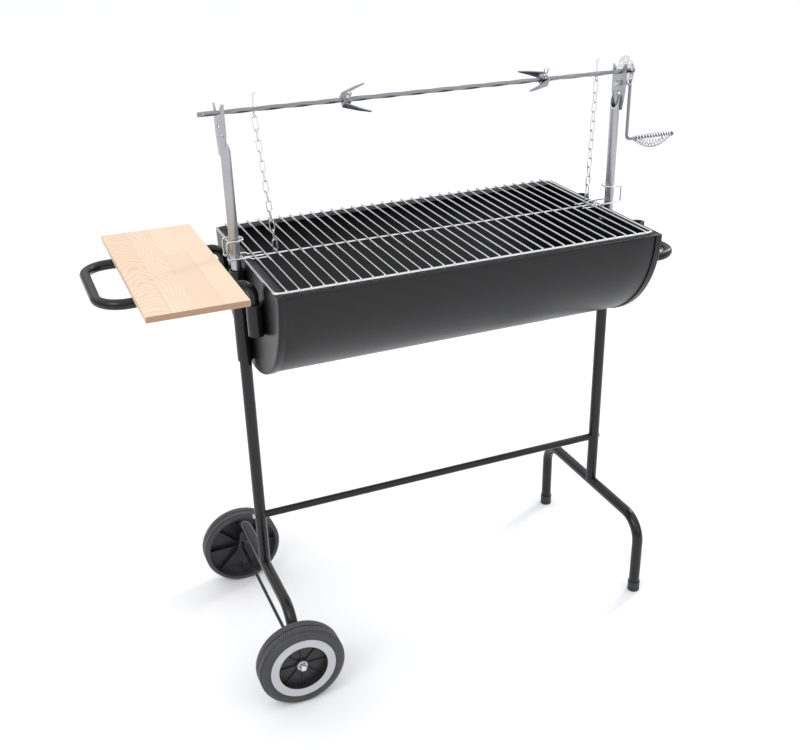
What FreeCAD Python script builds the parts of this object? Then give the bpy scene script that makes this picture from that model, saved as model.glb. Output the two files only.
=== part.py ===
import FreeCAD, Part
import Sketcher
import math
import os

# A half-barrel charcoal barbecue on a two-legged trolley frame, with a hand-cranked spit
# that also winds up the chain-hung cooking grid, two spit forks and a wooden side tray.
# Millimetres. +Z is up, +X runs from the wheel end to the crank end, and -Y is the front.
# The origin is on the floor under the middle of the whole. Everything is built about the
# middle of the trough and moved along X at the end.

Vector = FreeCAD.Vector
Rotation = FreeCAD.Rotation
Placement = FreeCAD.Placement
X, Y, Z = Vector(1, 0, 0), Vector(0, 1, 0), Vector(0, 0, 1)

SIZES = {
    # trough
    "trough_length": 660, "trough_radius": 183, "sheet_thickness": 1.5, "rim_height": 730,
    "rim_flange": 20, "end_flange": 13, "end_lip": 12, "sheet_gap": 0.1,
    # legs, sleeves and posts
    "sleeve_outer": 25, "sleeve_wall": 2, "sleeve_bottom": 560, "sleeve_top": 716,
    "leg_outer": 20, "leg_wall": 1.5, "leg_drop": 6, "tube_gap": 0.4, "weld_gap": 0.05,
    "post_outer": 16, "post_wall": 1.2, "post_bottom": 610, "upper_bolt_drop": 26,
    "lower_bolt_drop": 130, "bolt_short": 3, "head_round": 1,
    "rod_height": 962, "tongue_width": 25, "tongue_thickness": 1.6, "tongue_above_rod": 13,
    "tongue_fold_drop": 31, "tongue_inset": 0.5, "tongue_crease": 16, "left_tongue_turn": 23,
    "right_tongue_turn": 34, "cut_drop": 64, "slot_width": 10.5, "slot_gap": 0.3, "slot_flare": 2.5,
    "relief_hole": 4, "relief_drop": 36, "latch_drop": 20, "latch_diameter": 5,
    "latch_clearance": 0.8, "latch_nut": 8.6,
    "latch_head": 8, "latch_head_height": 3, "latch_nut_gap": 2, "latch_inner_reach": 6,
    # feet
    "foot_outer": 20, "foot_wall": 1.5, "foot_height": 154, "foot_half_span": 173,
    "foot_bend": 45, "cap_outer": 23, "cap_height": 20, "cap_floor": 3,
    "axle_half_span": 163, "tab_width": 28, "tab_thickness": 3.2, "tab_bottom": 50, "tab_top": 91,
    "tab_taper": 16,
    # brace
    "brace_outer": 13, "brace_wall": 1.2, "brace_height": 256, "plug_length": 14,
    "plug_setback": 3, "screw_diameter": 5, "screw_head": 9, "screw_head_height": 3, "hole_gap": 0.1,
    # axle and wheels
    "axle_diameter": 6, "axle_height": 75, "wheel_outer": 150, "wheel_face": 211,
    "wheel_width": 36, "tyre_inner": 114, "tyre_hollow": 132, "tyre_shoulder": 4, "hub_inner": 86,
    "web_thickness": 3, "web_recess": 13, "boss_outer": 22, "boss_recess": 9, "rib_thickness": 2,
    "rib_count": 8, "rib_depth": 5, "rib_bite": 0.5, "ring_thickness": 1, "running_gap": 0.08,
    "washer_outer": 18, "washer_thickness": 1.2, "side_gap": 0.4, "nut_across": 13, "nut_height": 5,
    "nut_dome": 3.5, "dome_inset": 0.5,
    # handles and side tray
    "handle_outer": 16, "handle_wall": 1.2, "handle_half_width": 92, "handle_bend": 40,
    "socket_bend": 19, "left_handle_height": 724, "left_handle_reach": 568,
    "right_handle_height": 653, "right_handle_reach": 432, "socket_outer": 25, "socket_wall": 2,
    "socket_length": 50, "left_socket_top": 690, "right_socket_top": 724, "bush_rim": 1.5,
    "tray_length": 388, "tray_width": 148, "tray_thickness": 10, "tray_middle": 447,
    "tray_offset": -6, "tray_edge": 1.2, "clip_width": 12, "clip_sheet": 1.2, "clip_ear": 11,
    "clip_spacing": 90, "clip_screw": 4, "screw_grip": 6, "clip_head_height": 2,
    # cooking grid
    "grid_length": 648, "grid_depth": 350, "grid_shift": -7, "grid_corner": 9, "rim_wire": 4,
    "cross_wire": 3, "cross_count": 33, "cross_pitch": 19.2, "cross_first": 17, "grid_gap": 1.5,
    "guide_wire": 3, "guide_half_width": 13.5, "guide_outside": 15, "guide_inside": 13.5,
    "guide_rise": 29, "guide_tail": 38, "guide_bend": 4, "guide_step": 3, "guide_soft_bend": 2,
    "guide_loop_bend": 12.5,
    # spit rod, crank and grip
    "rod_side": 6, "rod_left": 379, "rod_right": 372, "tip_hole": 3, "tip_hole_setback": 9,
    "disc_diameter": 50, "disc_thickness": 2, "disc_from_post": 17, "disc_hole": 6.5,
    "disc_hole_circle": 40, "disc_holes": 9,
    "crank_wire": 5.5, "crank_drop": 118, "crank_bend": 8, "crank_handle": 94, "hub_outer": 13,
    "hub_length": 8, "grip_length": 79, "grip_outer": 25, "grip_end": 10, "grip_wire": 2.2,
    "spindle_knob": 8, "knob_length": 2.5, "grip_play": 0.5,
    # chains and hooks
    "chain_left": -294, "chain_right": 302, "chain_wire": 2, "link_width": 9.4, "link_count": 12,
    "top_link_extra": 4, "pin_wire": 2, "pin_above": 24, "pin_eye": 8, "pin_tip": 5, "pin_bend": 3,
    "link_gap": 0.3, "hook_height": 22, "hook_width": 9, "hook_wire": 2, "hook_setback": 7,
    "gate_outer": 3.2, "gate_length": 7.4,
    "left_hook_wire": 2, "right_hook_wire": 32,
    # forks
    "left_fork": -154, "right_fork": 206, "left_fork_turn": 52, "right_fork_turn": 31,
    "fork_sheet": 2, "fork_length": 43, "fork_bend": 24, "fork_root": 9, "fork_knee": 19,
    "fork_spread": 25, "fork_depth": 14, "knee_depth": 7, "tip_depth": 1.5, "fork_hub": 13,
    "fork_hub_length": 12, "fork_gap": 0.3, "thumb_screw": 5, "thumb_reach": 3, "thumb_ring": 16,
    "thumb_ring_width": 9, "thumb_wire": 2,
    # from the middle of the whole to the middle of the trough
    "origin_shift": "=(left_handle_reach + handle_outer / 2 - rod_right + crank_wire / 4"
                    " - crank_handle - knob_length) / 2",
}

doc = FreeCAD.newDocument("Barbecue")
sheet = doc.addObject("Spreadsheet::Sheet", "Sizes")
for row, (alias, value) in enumerate(SIZES.items(), start=1):
    sheet.set("A%d" % row, alias)
    sheet.set("B%d" % row, str(value))
    sheet.setAlias("B%d" % row, alias)
doc.recompute()

nodes = []


def size(alias):
    return float(sheet.get(alias))


def keep(node, obj):
    """Name a finished sub-part, so that it is checked and written out."""
    obj.Label = node
    nodes.append(obj)
    return obj


# --- Part objects whose sizes are bound to the sheet -------------------------------------

TURNS = {"z": Rotation(), "x": Rotation(Y, 90), "y": Rotation(X, -90)}


def primitive(kind, name, place, along="z", **sizes):
    """A Part primitive; its sizes and its position are expressions of the sheet's cells."""
    obj = doc.addObject("Part::" + kind, name)
    obj.Placement = Placement(Vector(), TURNS[along])
    for prop, text in sizes.items():
        obj.setExpression(prop, text)
    for axis, text in zip("xyz", place):
        obj.setExpression("Placement.Base." + axis, text)
    return obj


def cylinder(name, place, radius, height, along="z"):
    return primitive("Cylinder", name, place, along, Radius=radius, Height=height)


def box(name, place, length, width, height):
    return primitive("Box", name, place, Length=length, Width=width, Height=height)


def cut(name, base, *tools):
    obj = doc.addObject("Part::Cut", name)
    obj.Base = base
    obj.Tool = tools[0] if len(tools) == 1 else fuse(name + "Tools", *tools)
    return obj


def fuse(name, *shapes):
    obj = doc.addObject("Part::MultiFuse", name)
    obj.Shapes = list(shapes)
    return obj


def common(name, first, second):
    obj = doc.addObject("Part::Common", name)
    obj.Base = first
    obj.Tool = second
    return obj


def compound(name, *shapes):
    obj = doc.addObject("Part::Compound", name)
    obj.Links = list(shapes)
    return obj


def tube(name, place, outer, bore, height, along="z"):
    """A straight tube; outer and bore are radii."""
    body = cylinder(name + "Outer", place, outer, height, along)
    return cut(name, body, cylinder(name + "Bore", place, bore, height, along))


# --- shapes that no single primitive gives: bent bars and wires ---------------------------

def feature(name, shape):
    obj = doc.addObject("Part::Feature", name)
    obj.Shape = shape
    return obj


def polygon(points):
    return Part.Face(Part.makePolygon(points + points[:1]))


def rounded_path(points, radii):
    """Straight runs through the points, joined by tangent arcs of the given radii."""
    edges = []
    start = points[0]
    for corner, after, radius in zip(points[1:-1], points[2:], radii):
        before = (start - corner).normalize()
        beyond = (after - corner).normalize()
        half_angle = before.getAngle(beyond) / 2
        setback = radius / math.tan(half_angle)
        first = corner + before * setback
        last = corner + beyond * setback
        inward = (before + beyond).normalize()
        middle = corner + inward * (radius / math.sin(half_angle) - radius)
        edges.append(Part.LineSegment(start, first).toShape())
        edges.append(Part.Arc(first, middle, last).toShape())
        start = last
    edges.append(Part.LineSegment(start, points[-1]).toShape())
    return Part.Wire(edges)


def swept(path, radius):
    """A round bar of this radius along a path."""
    first = path.Edges[0]
    start = first.valueAt(first.FirstParameter)
    direction = first.tangentAt(first.FirstParameter)
    profile = Part.Wire([Part.makeCircle(radius, start, direction)])
    return path.makePipeShell([profile], True, False)


def bent_bar(points, radii, radius):
    return swept(rounded_path(points, radii), radius)


def bent_tube(points, radii, outer, wall):
    path = rounded_path(points, radii)
    return swept(path, outer / 2).cut(swept(path, outer / 2 - wall))


def racetrack(centre, across, along, width, height, wire):
    """A closed wire link: round ends joined by straight sides."""
    end = width / 2
    side = height / 2 - end
    corners = [centre + across * (sx * end) + along * (sz * side)
               for sx, sz in ((-1, -1), (-1, 1), (1, 1), (1, -1))]
    top = centre + along * (side + end)
    bottom = centre - along * (side + end)
    path = Part.Wire([
        Part.LineSegment(corners[0], corners[1]).toShape(),
        Part.Arc(corners[1], top, corners[2]).toShape(),
        Part.LineSegment(corners[2], corners[3]).toShape(),
        Part.Arc(corners[3], bottom, corners[0]).toShape(),
    ])
    return swept(path, wire / 2)


# --- places that several sub-parts share --------------------------------------------------

POST_X = "(Sizes.trough_length / 2 + Sizes.sleeve_outer / 2 + Sizes.weld_gap)"
SOCKET_X = "(Sizes.trough_length / 2 + Sizes.socket_outer / 2 + Sizes.weld_gap)"
SLEEVE_BORE = "(Sizes.leg_outer / 2 + Sizes.tube_gap)"
LEG_BORE = "(Sizes.leg_outer / 2 - Sizes.leg_wall)"
LEG_TOP = "(Sizes.sleeve_top - Sizes.leg_drop)"
SCREW_HOLE = "(Sizes.screw_diameter / 2 + Sizes.hole_gap)"
AXLE_HOLE = "(Sizes.axle_diameter / 2 + Sizes.hole_gap)"


def post_x():
    return size("trough_length") / 2 + size("sleeve_outer") / 2 + size("weld_gap")


def socket_x():
    return size("trough_length") / 2 + size("socket_outer") / 2 + size("weld_gap")


def grid_level():
    """Height of the grid's rim wire above the floor."""
    return size("rim_height") + size("grid_gap") + size("rim_wire") / 2


def cross_level():
    return grid_level() + (size("rim_wire") + size("cross_wire")) / 2


def cross_x(index):
    """Where a cross wire lies along the grid, counted from the wheel end."""
    left = size("grid_shift") - size("grid_length") / 2
    return left + size("cross_first") + index * size("cross_pitch")


def left_end():
    return size("grid_shift") - size("grid_length") / 2


def sides():
    return (("left", -1), ("right", 1))


BOLT_DROPS = ("upper_bolt_drop", "lower_bolt_drop")      # of the sleeve bolts, below the rim


# --- the trough ---------------------------------------------------------------------------

def trough_shell():
    """The rolled half barrel, its long edges folded in as flanges."""
    start = ("-Sizes.trough_length / 2 + Sizes.sheet_thickness", "0", "Sizes.rim_height")
    length = "Sizes.trough_length - 2 * Sizes.sheet_thickness"
    ring = tube("ShellRing", start, "Sizes.trough_radius",
                "Sizes.trough_radius - Sizes.sheet_thickness", length, "x")
    lower = box("ShellHalf", (start[0], "-Sizes.trough_radius",
                              "Sizes.rim_height - Sizes.trough_radius"),
                length, "2 * Sizes.trough_radius", "Sizes.trough_radius")
    flange_z = "Sizes.rim_height - Sizes.sheet_thickness"
    front = box("FrontFlange", (start[0], "-Sizes.trough_radius", flange_z),
                length, "Sizes.rim_flange", "Sizes.sheet_thickness")
    back = box("BackFlange", (start[0], "Sizes.trough_radius - Sizes.rim_flange", flange_z),
               length, "Sizes.rim_flange", "Sizes.sheet_thickness")
    half = common("HalfBarrel", ring, lower)
    keep("trough_shell", fuse("TroughShell", half, front, back))


def end_plate(name, side):
    """A pressed D-shaped end: a lip that laps the shell and a flange folded in at the top."""
    lip_radius = "Sizes.trough_radius + Sizes.sheet_gap + Sizes.sheet_thickness"
    plate_x = "-Sizes.trough_length / 2" if side < 0 else \
        "Sizes.trough_length / 2 - Sizes.sheet_thickness"
    lip_x = "-Sizes.trough_length / 2 + Sizes.sheet_thickness" if side < 0 else \
        "Sizes.trough_length / 2 - Sizes.sheet_thickness - Sizes.end_lip"
    flange_x = lip_x if side < 0 else \
        "Sizes.trough_length / 2 - Sizes.sheet_thickness - Sizes.end_flange"
    centre = ("0", "Sizes.rim_height")
    disc = cylinder(name + "Disc", (plate_x,) + centre, lip_radius, "Sizes.sheet_thickness", "x")
    lip = tube(name + "Lip", (lip_x,) + centre, lip_radius,
               "Sizes.trough_radius + Sizes.sheet_gap", "Sizes.end_lip", "x")
    lower = box(name + "Half", ("-Sizes.trough_length", "-2 * Sizes.trough_radius",
                                "Sizes.rim_height - 2 * Sizes.trough_radius"),
                "2 * Sizes.trough_length", "4 * Sizes.trough_radius", "2 * Sizes.trough_radius")
    half = common(name + "Pressing", fuse(name + "Round", disc, lip), lower)
    inside = "Sizes.trough_radius - Sizes.rim_flange - Sizes.sheet_gap"
    flange = box(name + "Flange",
                 (flange_x, "-(%s)" % inside, "Sizes.rim_height - Sizes.sheet_thickness"),
                 "Sizes.end_flange", "2 * (%s)" % inside, "Sizes.sheet_thickness")
    holes = [cylinder("%sHole%d" % (name, index),
                      (plate_x, "0", "Sizes.rim_height - Sizes.%s" % drop), SCREW_HOLE,
                      "Sizes.sheet_thickness", "x") for index, drop in enumerate(BOLT_DROPS)]
    keep("end_plate_" + ("left" if side < 0 else "right"),
         cut(name, fuse(name + "Blank", half, flange), *holes))


def sleeve_bolts(name, side):
    """Cap screws from inside the trough, through the end plate into the sleeve and the leg."""
    head_x = side * (size("trough_length") / 2 - size("sheet_thickness"))
    reach = size("sheet_thickness") + size("weld_gap") + size("sleeve_outer") / 2 \
        - size("bolt_short")
    bolts = []
    for drop in BOLT_DROPS:
        start = Vector(head_x, 0, size("rim_height") - size(drop))
        head = Part.makeCylinder(size("screw_head") / 2, size("screw_head_height"), start, X * -side)
        crown = min((edge for edge in head.Edges), key=lambda edge: edge.CenterOfMass.x * side)
        head = head.makeFillet(size("head_round"), [crown])
        shank = Part.makeCylinder(size("screw_diameter") / 2, reach, start, X * side)
        bolts.append(head.fuse(shank).removeSplitter())
    keep("sleeve_bolts_" + name, feature("SleeveBolts" + name, Part.Compound(bolts)))


# --- sleeves, legs and slotted posts ------------------------------------------------------

def bolt_holes(name, side, places):
    """Holes along X, on the trough's side of an upright."""
    start = "%s%s" % ("" if side > 0 else "-", POST_X)
    if side > 0:
        start = "%s - Sizes.sleeve_outer" % POST_X
    return [cylinder("%sHole%d" % (name, index), (start, "0", place), SCREW_HOLE,
                     "Sizes.sleeve_outer", "x") for index, place in enumerate(places)]


def sleeve(name, side):
    centre = ("%d * %s" % (side, POST_X), "0", "Sizes.sleeve_bottom")
    blank = tube("Sleeve" + name, centre, "Sizes.sleeve_outer / 2", SLEEVE_BORE,
                 "Sizes.sleeve_top - Sizes.sleeve_bottom")
    holes = bolt_holes("Sleeve" + name, side, ["Sizes.rim_height - Sizes.%s" % d for d in BOLT_DROPS])
    keep("sleeve_" + name, cut("Sleeve%sDrilled" % name, blank, *holes))


def leg(name, side):
    """The lower leg: coped over the foot tube and drilled for the brace and the sleeve."""
    centre = ("%d * %s" % (side, POST_X), "0", "Sizes.foot_height")
    blank = tube("Leg" + name, centre, "Sizes.leg_outer / 2", LEG_BORE,
                 "%s - Sizes.foot_height" % LEG_TOP)
    saddle = cylinder("LegSaddle" + name, (centre[0], "-Sizes.leg_outer", centre[2]),
                      "Sizes.foot_outer / 2", "2 * Sizes.leg_outer", "y")
    brace_hole = cylinder("LegBraceHole" + name, ("%s - Sizes.leg_outer" % centre[0], "0",
                          "Sizes.brace_height"), SCREW_HOLE, "2 * Sizes.leg_outer", "x")
    holes = bolt_holes("Leg" + name, side, ["Sizes.rim_height - Sizes.%s" % d for d in BOLT_DROPS])
    keep("leg_" + name, cut("Leg%sDrilled" % name, blank, saddle, brace_hole, *holes))


def turned(shape, side, angle):
    """Turn a shape about the upright line through the middle of the post's tongue."""
    middle = side * (size("post_outer") - size("tongue_thickness")) / 2
    shape.rotate(Vector(middle, 0, 0), Z, angle)
    return shape


def tongue(side, angle):
    """The post's outer wall opened out above a slanted cut, creased down its middle."""
    rod, thick = size("rod_height"), size("tongue_thickness")
    outside = side * size("post_outer") / 2
    narrow, wide = size("post_outer") / 2 - size("tongue_inset"), size("tongue_width") / 2
    low, fold = rod - size("cut_drop"), rod - size("tongue_fold_drop")
    top = rod + size("tongue_above_rod")
    sweep = side * wide * math.tan(math.radians(size("tongue_crease")))
    section = [(outside, 0), (outside - sweep, wide), (outside - sweep - side * thick, wide),
               (outside - side * thick, 0), (outside - sweep - side * thick, -wide),
               (outside - sweep, -wide)]
    strip = polygon([Vector(x, y, low) for x, y in section]).extrude(Z * (top - low))
    outline = [(-narrow, low), (-wide, fold), (-wide, top), (wide, top), (wide, fold), (narrow, low)]
    face = polygon([Vector(-2 * wide, y, z) for y, z in outline])
    return turned(strip.common(face.extrude(X * (4 * wide))), side, angle)


def rod_slot():
    """The open slot that the spit rod drops into, cut along the rod."""
    rod, half, reach = size("rod_height"), size("slot_width") / 2, size("tongue_width")
    floor = rod + half - size("rod_side") / math.sqrt(2) - size("slot_gap")
    top, flare = rod + size("tongue_above_rod"), half + size("slot_flare")
    shoulder = top - 2 * size("slot_flare")
    mouth = [(-half, floor), (-half, shoulder), (-flare, top), (flare, top), (half, shoulder),
             (half, floor)]
    opening = polygon([Vector(-reach, y, z) for y, z in mouth]).extrude(X * (2 * reach))
    return opening.fuse(Part.makeCylinder(half, 2 * reach, Vector(-reach, 0, floor), X))


def across_hole(diameter, height):
    """A hole right through the post's tongue."""
    reach = size("tongue_width")
    return Part.makeCylinder(diameter / 2 + size("hole_gap"), 2 * reach, Vector(-reach, 0, height), X)


def post(name, side):
    """The plated post: a tube with a slanted top and a slotted tongue."""
    low, rod, angle = size("post_bottom"), size("rod_height"), size(name + "_tongue_turn")
    fold, foot = rod - size("tongue_fold_drop"), rod - size("cut_drop")
    radius = size("post_outer") / 2
    body = Part.makeCylinder(radius, fold - low, Vector(0, 0, low))
    slope = [(side * radius, fold), (-side * radius, foot), (-side * 3 * radius, foot),
             (-side * 3 * radius, fold + radius), (side * radius, fold + radius)]
    wedge = polygon([Vector(x, -3 * radius, z) for x, z in slope]).extrude(Y * (6 * radius))
    body = body.cut(turned(wedge, side, angle)).fuse(tongue(side, angle))
    bore = Part.makeCylinder(radius - size("post_wall"), fold - low, Vector(0, 0, low))
    shape = body.cut(bore.fuse([rod_slot(), across_hole(size("latch_diameter"), rod - size("latch_drop"))]))
    relief = across_hole(size("relief_hole"), rod - size("relief_drop"))
    bolt = Part.makeCylinder(size("screw_diameter") / 2 + size("hole_gap"), radius,
                             Vector(0, 0, size("rim_height") - size("upper_bolt_drop")), X * -side)
    shape = shape.cut(turned(relief, side, angle).fuse(bolt)).removeSplitter()
    obj = feature("Post" + name, shape)
    obj.Placement = Placement(Vector(side * post_x(), 0, 0), Rotation())
    keep("post_" + name, obj)


# --- feet ---------------------------------------------------------------------------------

def foot_points(span, bottom):
    top = size("foot_height")
    return [Vector(0, -span, bottom), Vector(0, -span, top), Vector(0, span, top),
            Vector(0, span, bottom)]


def right_foot():
    bend = [size("foot_bend")] * 2
    points = foot_points(size("foot_half_span"), size("cap_floor"))
    shape = bent_tube(points, bend, size("foot_outer"), size("foot_wall"))
    obj = feature("RightFoot", shape)
    obj.Placement = Placement(Vector(post_x(), 0, 0), Rotation())
    keep("foot_right", obj)


def foot_caps():
    caps = []
    for index, side in enumerate((-1, 1)):
        place = (POST_X, "%d * Sizes.foot_half_span" % side, "0")
        cup = cylinder("Cap%d" % index, place, "Sizes.cap_outer / 2", "Sizes.cap_height")
        hollow = cylinder("CapHollow%d" % index, place[:2] + ("Sizes.cap_floor",),
                          "Sizes.foot_outer / 2 + Sizes.sheet_gap", "Sizes.cap_height")
        caps.append(cut("FootCap%d" % index, cup, hollow))
    keep("foot_caps", compound("FootCaps", *caps))


def flattened_end(side):
    """The foot tube's end, pressed flat into a tab and drilled for the axle."""
    span, wide, thick = size("axle_half_span"), size("tab_width"), size("tab_thickness")
    top, taper = size("tab_top"), size("tab_taper")
    radius = size("foot_outer") / 2
    cone = Part.makeCone(wide / 2, radius, taper, Vector(0, side * span, top), Z)
    wedge = [(-thick / 2, top), (thick / 2, top), (radius, top + taper), (-radius, top + taper)]
    corners = [Vector(-wide, side * span + y, z) for y, z in wedge + wedge[:1]]
    neck = cone.common(Part.Face(Part.makePolygon(corners)).extrude(X * (2 * wide)))
    round_z = size("tab_bottom") + wide / 2
    tab = Part.makeBox(wide, thick, top - round_z, Vector(-wide / 2, side * span - thick / 2, round_z))
    tip = Part.makeCylinder(wide / 2, thick, Vector(0, side * span - thick / 2, round_z), Y)
    return neck.fuse([tab, tip]).removeSplitter()


def left_foot():
    bottom = size("tab_top") + size("tab_taper")
    shape = bent_tube(foot_points(size("axle_half_span"), bottom), [size("foot_bend")] * 2,
                      size("foot_outer"), size("foot_wall"))
    shape = shape.fuse([flattened_end(-1), flattened_end(1)]).removeSplitter()
    radius = size("axle_diameter") / 2 + size("hole_gap")
    reach = 2 * size("axle_half_span")
    shape = shape.cut(Part.makeCylinder(radius, 2 * reach, Vector(0, -reach, size("axle_height")), Y))
    obj = feature("LeftFoot", shape)
    obj.Placement = Placement(Vector(-post_x(), 0, 0), Rotation())
    keep("foot_left", obj)


# --- brace between the legs ---------------------------------------------------------------

def brace():
    """A thin tube screwed to both legs, with a plug in each end for its screw."""
    start = ("-%s" % POST_X, "0", "Sizes.brace_height")
    length = "2 * %s" % POST_X
    blank = tube("Brace", start, "Sizes.brace_outer / 2",
                 "Sizes.brace_outer / 2 - Sizes.brace_wall", length, "x")
    legs = [cylinder("BraceCope" + name, ("%d * %s" % (side, POST_X), "0", "0"),
                     "Sizes.leg_outer / 2 + Sizes.weld_gap", "Sizes.sleeve_bottom")
            for name, side in sides()]
    keep("brace", cut("BraceCoped", blank, *legs))
    plugs = []
    for name, side in sides():
        inner = "%s - Sizes.leg_outer / 2 - Sizes.weld_gap - Sizes.plug_setback" \
                " - Sizes.plug_length" % POST_X
        outer = "-%s + Sizes.leg_outer / 2 + Sizes.weld_gap + Sizes.plug_setback" % POST_X
        place = (inner if side > 0 else outer, "0", "Sizes.brace_height")
        plugs.append(tube("BracePlug" + name, place,
                          "Sizes.brace_outer / 2 - Sizes.brace_wall - Sizes.sheet_gap", SCREW_HOLE,
                          "Sizes.plug_length", "x"))
    keep("brace_plugs", compound("BracePlugs", *plugs))
    screws = []
    for name, side in sides():
        head = cylinder("BraceHead" + name, ("%d * (%s + Sizes.leg_outer / 2)%s" % (
            side, POST_X, "" if side > 0 else " - Sizes.screw_head_height"), "0",
            "Sizes.brace_height"), "Sizes.screw_head / 2", "Sizes.screw_head_height", "x")
        reach = "Sizes.leg_outer + Sizes.plug_setback + Sizes.plug_length"
        shank_x = "%s + Sizes.leg_outer / 2 - (%s)" % (POST_X, reach) if side > 0 else \
            "-%s - Sizes.leg_outer / 2" % POST_X
        shank = cylinder("BraceShank" + name, (shank_x, "0", "Sizes.brace_height"),
                         "Sizes.screw_diameter / 2", reach, "x")
        screws.append(fuse("BraceScrew" + name, head, shank))
    keep("brace_screws", compound("BraceScrews", *screws))


# --- axle and wheels ----------------------------------------------------------------------

def boss_face():
    """How far from the middle the axle nuts bear on the hubs."""
    return size("wheel_face") - size("boss_recess")


def axle():
    half = "(Sizes.wheel_face - Sizes.boss_recess + Sizes.side_gap + Sizes.washer_thickness" \
           " + Sizes.nut_height)"
    keep("axle", cylinder("Axle", ("-%s" % POST_X, "-%s" % half, "Sizes.axle_height"),
                          "Sizes.axle_diameter / 2", "2 * %s" % half, "y"))


def axle_nut(side):
    """A hexagon nut with a domed cap."""
    start = boss_face() + size("side_gap") + size("washer_thickness")
    corner = size("nut_across") / math.sqrt(3)
    base = Vector(-post_x(), side * start, size("axle_height"))
    around = [base + Vector(corner * math.cos(math.radians(60 * k)), 0,
                            corner * math.sin(math.radians(60 * k))) for k in range(7)]
    hexagon = Part.Face(Part.makePolygon(around)).extrude(Y * (side * size("nut_height")))
    dome_radius = size("nut_across") / 2 - size("dome_inset")
    dome_base = base + Y * (side * size("nut_height"))
    dome = Part.makeSphere(dome_radius, dome_base)
    cap = Part.makeCylinder(dome_radius, size("nut_dome"), dome_base, Y * side)
    nut = hexagon.fuse(dome.common(cap)).removeSplitter()
    return nut.cut(Part.makeCylinder(size("axle_diameter") / 2, size("nut_height"), base, Y * side))


def washer(start):
    place = Vector(-post_x(), start, size("axle_height"))
    ring = Part.makeCylinder(size("washer_outer") / 2, size("washer_thickness"), place, Y)
    hole = size("axle_diameter") / 2 + size("hole_gap")
    return ring.cut(Part.makeCylinder(hole, size("washer_thickness"), place, Y))


def axle_fixings():
    keep("axle_nuts", feature("AxleNuts", Part.Compound([axle_nut(-1), axle_nut(1)])))
    outside = boss_face() + size("side_gap")
    inside = size("axle_half_span") + size("tab_thickness") / 2
    thick = size("washer_thickness")
    starts = (-outside - thick, -inside - thick, inside, outside)
    keep("axle_washers", feature("AxleWashers", Part.Compound([washer(s) for s in starts])))


def revolved(points, side):
    """Turn an outline of (radius, distance from the middle) points about the axle."""
    outline = [Vector(-post_x() + r, side * d, size("axle_height")) for r, d in points]
    face = Part.Face(Part.makePolygon(outline + outline[:1]))
    return face.revolve(Vector(-post_x(), 0, size("axle_height")), Y, 360)


def web_inside():
    """How far from the middle the hub's web ends, level with the tyre's flange."""
    return size("wheel_face") - size("web_recess") - size("web_thickness")


def tyre(name, side):
    """A tyre whose flange grips the hub and whose tread stands out over the hollow inner side."""
    face, back = size("wheel_face"), size("wheel_face") - size("wheel_width")
    outer, inner, soft = size("wheel_outer") / 2, size("tyre_inner") / 2, size("tyre_shoulder")
    hollow = size("tyre_hollow") / 2
    profile = [(inner, web_inside()), (hollow, web_inside()), (hollow, back), (outer - soft, back),
               (outer, back + soft), (outer, face - soft), (outer - soft, face), (inner, face)]
    keep("tyre_" + name, feature("Tyre" + name, revolved(profile, side)))


def hub(name, side):
    """A moulded hub: rim, thin web, boss and ribs on both faces of the web."""
    face = size("wheel_face") - size("ring_thickness")
    outer, inner = size("tyre_inner") / 2, size("hub_inner") / 2
    web_out, web_in = size("wheel_face") - size("web_recess"), web_inside()
    boss = size("boss_outer") / 2
    boss_in = size("axle_half_span") + size("tab_thickness") / 2 + size("washer_thickness") \
        + size("side_gap")
    bore = size("axle_diameter") / 2 + size("running_gap")
    profile = [(outer, web_in), (outer, face), (inner, face), (inner, web_out), (boss, web_out),
               (boss, boss_face()), (bore, boss_face()), (bore, boss_in), (boss, boss_in),
               (boss, web_in)]
    shape = revolved(profile, side)
    thick, deep, bite = size("rib_thickness"), size("rib_depth"), size("rib_bite")
    hollow = size("tyre_hollow") / 2 - bite
    for level, depth, reach in ((web_out, deep / 2, inner + bite), (web_in - 2 * deep, 2 * deep, hollow)):
        near = level if side > 0 else -level - depth
        for index in range(int(size("rib_count"))):
            rib = Part.makeBox(reach - boss + bite, depth, thick, Vector(boss - bite, near, -thick / 2))
            rib.rotate(Vector(), Y, index * 360 / size("rib_count"))
            rib.translate(Vector(-post_x(), 0, size("axle_height")))
            shape = shape.fuse(rib)
    keep("hub_" + name, feature("Hub" + name, shape.removeSplitter()))


def hub_ring(name, side):
    """The pale trim ring on the hub's outer face."""
    face = size("wheel_face")
    outer, inner = size("tyre_inner") / 2 - size("sheet_gap"), size("hub_inner") / 2
    level = face - size("ring_thickness")
    profile = [(inner, level), (outer, level), (outer, face), (inner, face)]
    keep("hub_ring_" + name, feature("HubRing" + name, revolved(profile, side)))


# --- handles, sockets and side tray -------------------------------------------------------

def handle(name, side, height, reach, tip):
    """A bent tube: two legs out from the end plate's sockets, joined by the grip bar."""
    half, start = size("handle_half_width"), side * socket_x()
    out = side * reach
    points = [Vector(start, -half, tip), Vector(start, -half, height), Vector(out, -half, height),
              Vector(out, half, height), Vector(start, half, height), Vector(start, half, tip)]
    radii = [size("socket_bend"), size("handle_bend"), size("handle_bend"), size("socket_bend")]
    keep("handle_" + name, feature("Handle" + name, bent_tube(
        points, radii, size("handle_outer"), size("handle_wall"))))


def socket_pair(name, side, top):
    """Short tubes on the end plate that take the handle's ends."""
    sockets = []
    for index, across in enumerate((-1, 1)):
        place = ("%d * %s" % (side, SOCKET_X), "%d * Sizes.handle_half_width" % across,
                 "%s - Sizes.socket_length" % top)
        sockets.append(tube("Socket%s%d" % (name, index), place, "Sizes.socket_outer / 2",
                            "Sizes.socket_outer / 2 - Sizes.socket_wall", "Sizes.socket_length"))
    keep("sockets_" + name, compound("Sockets" + name, *sockets))


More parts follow.
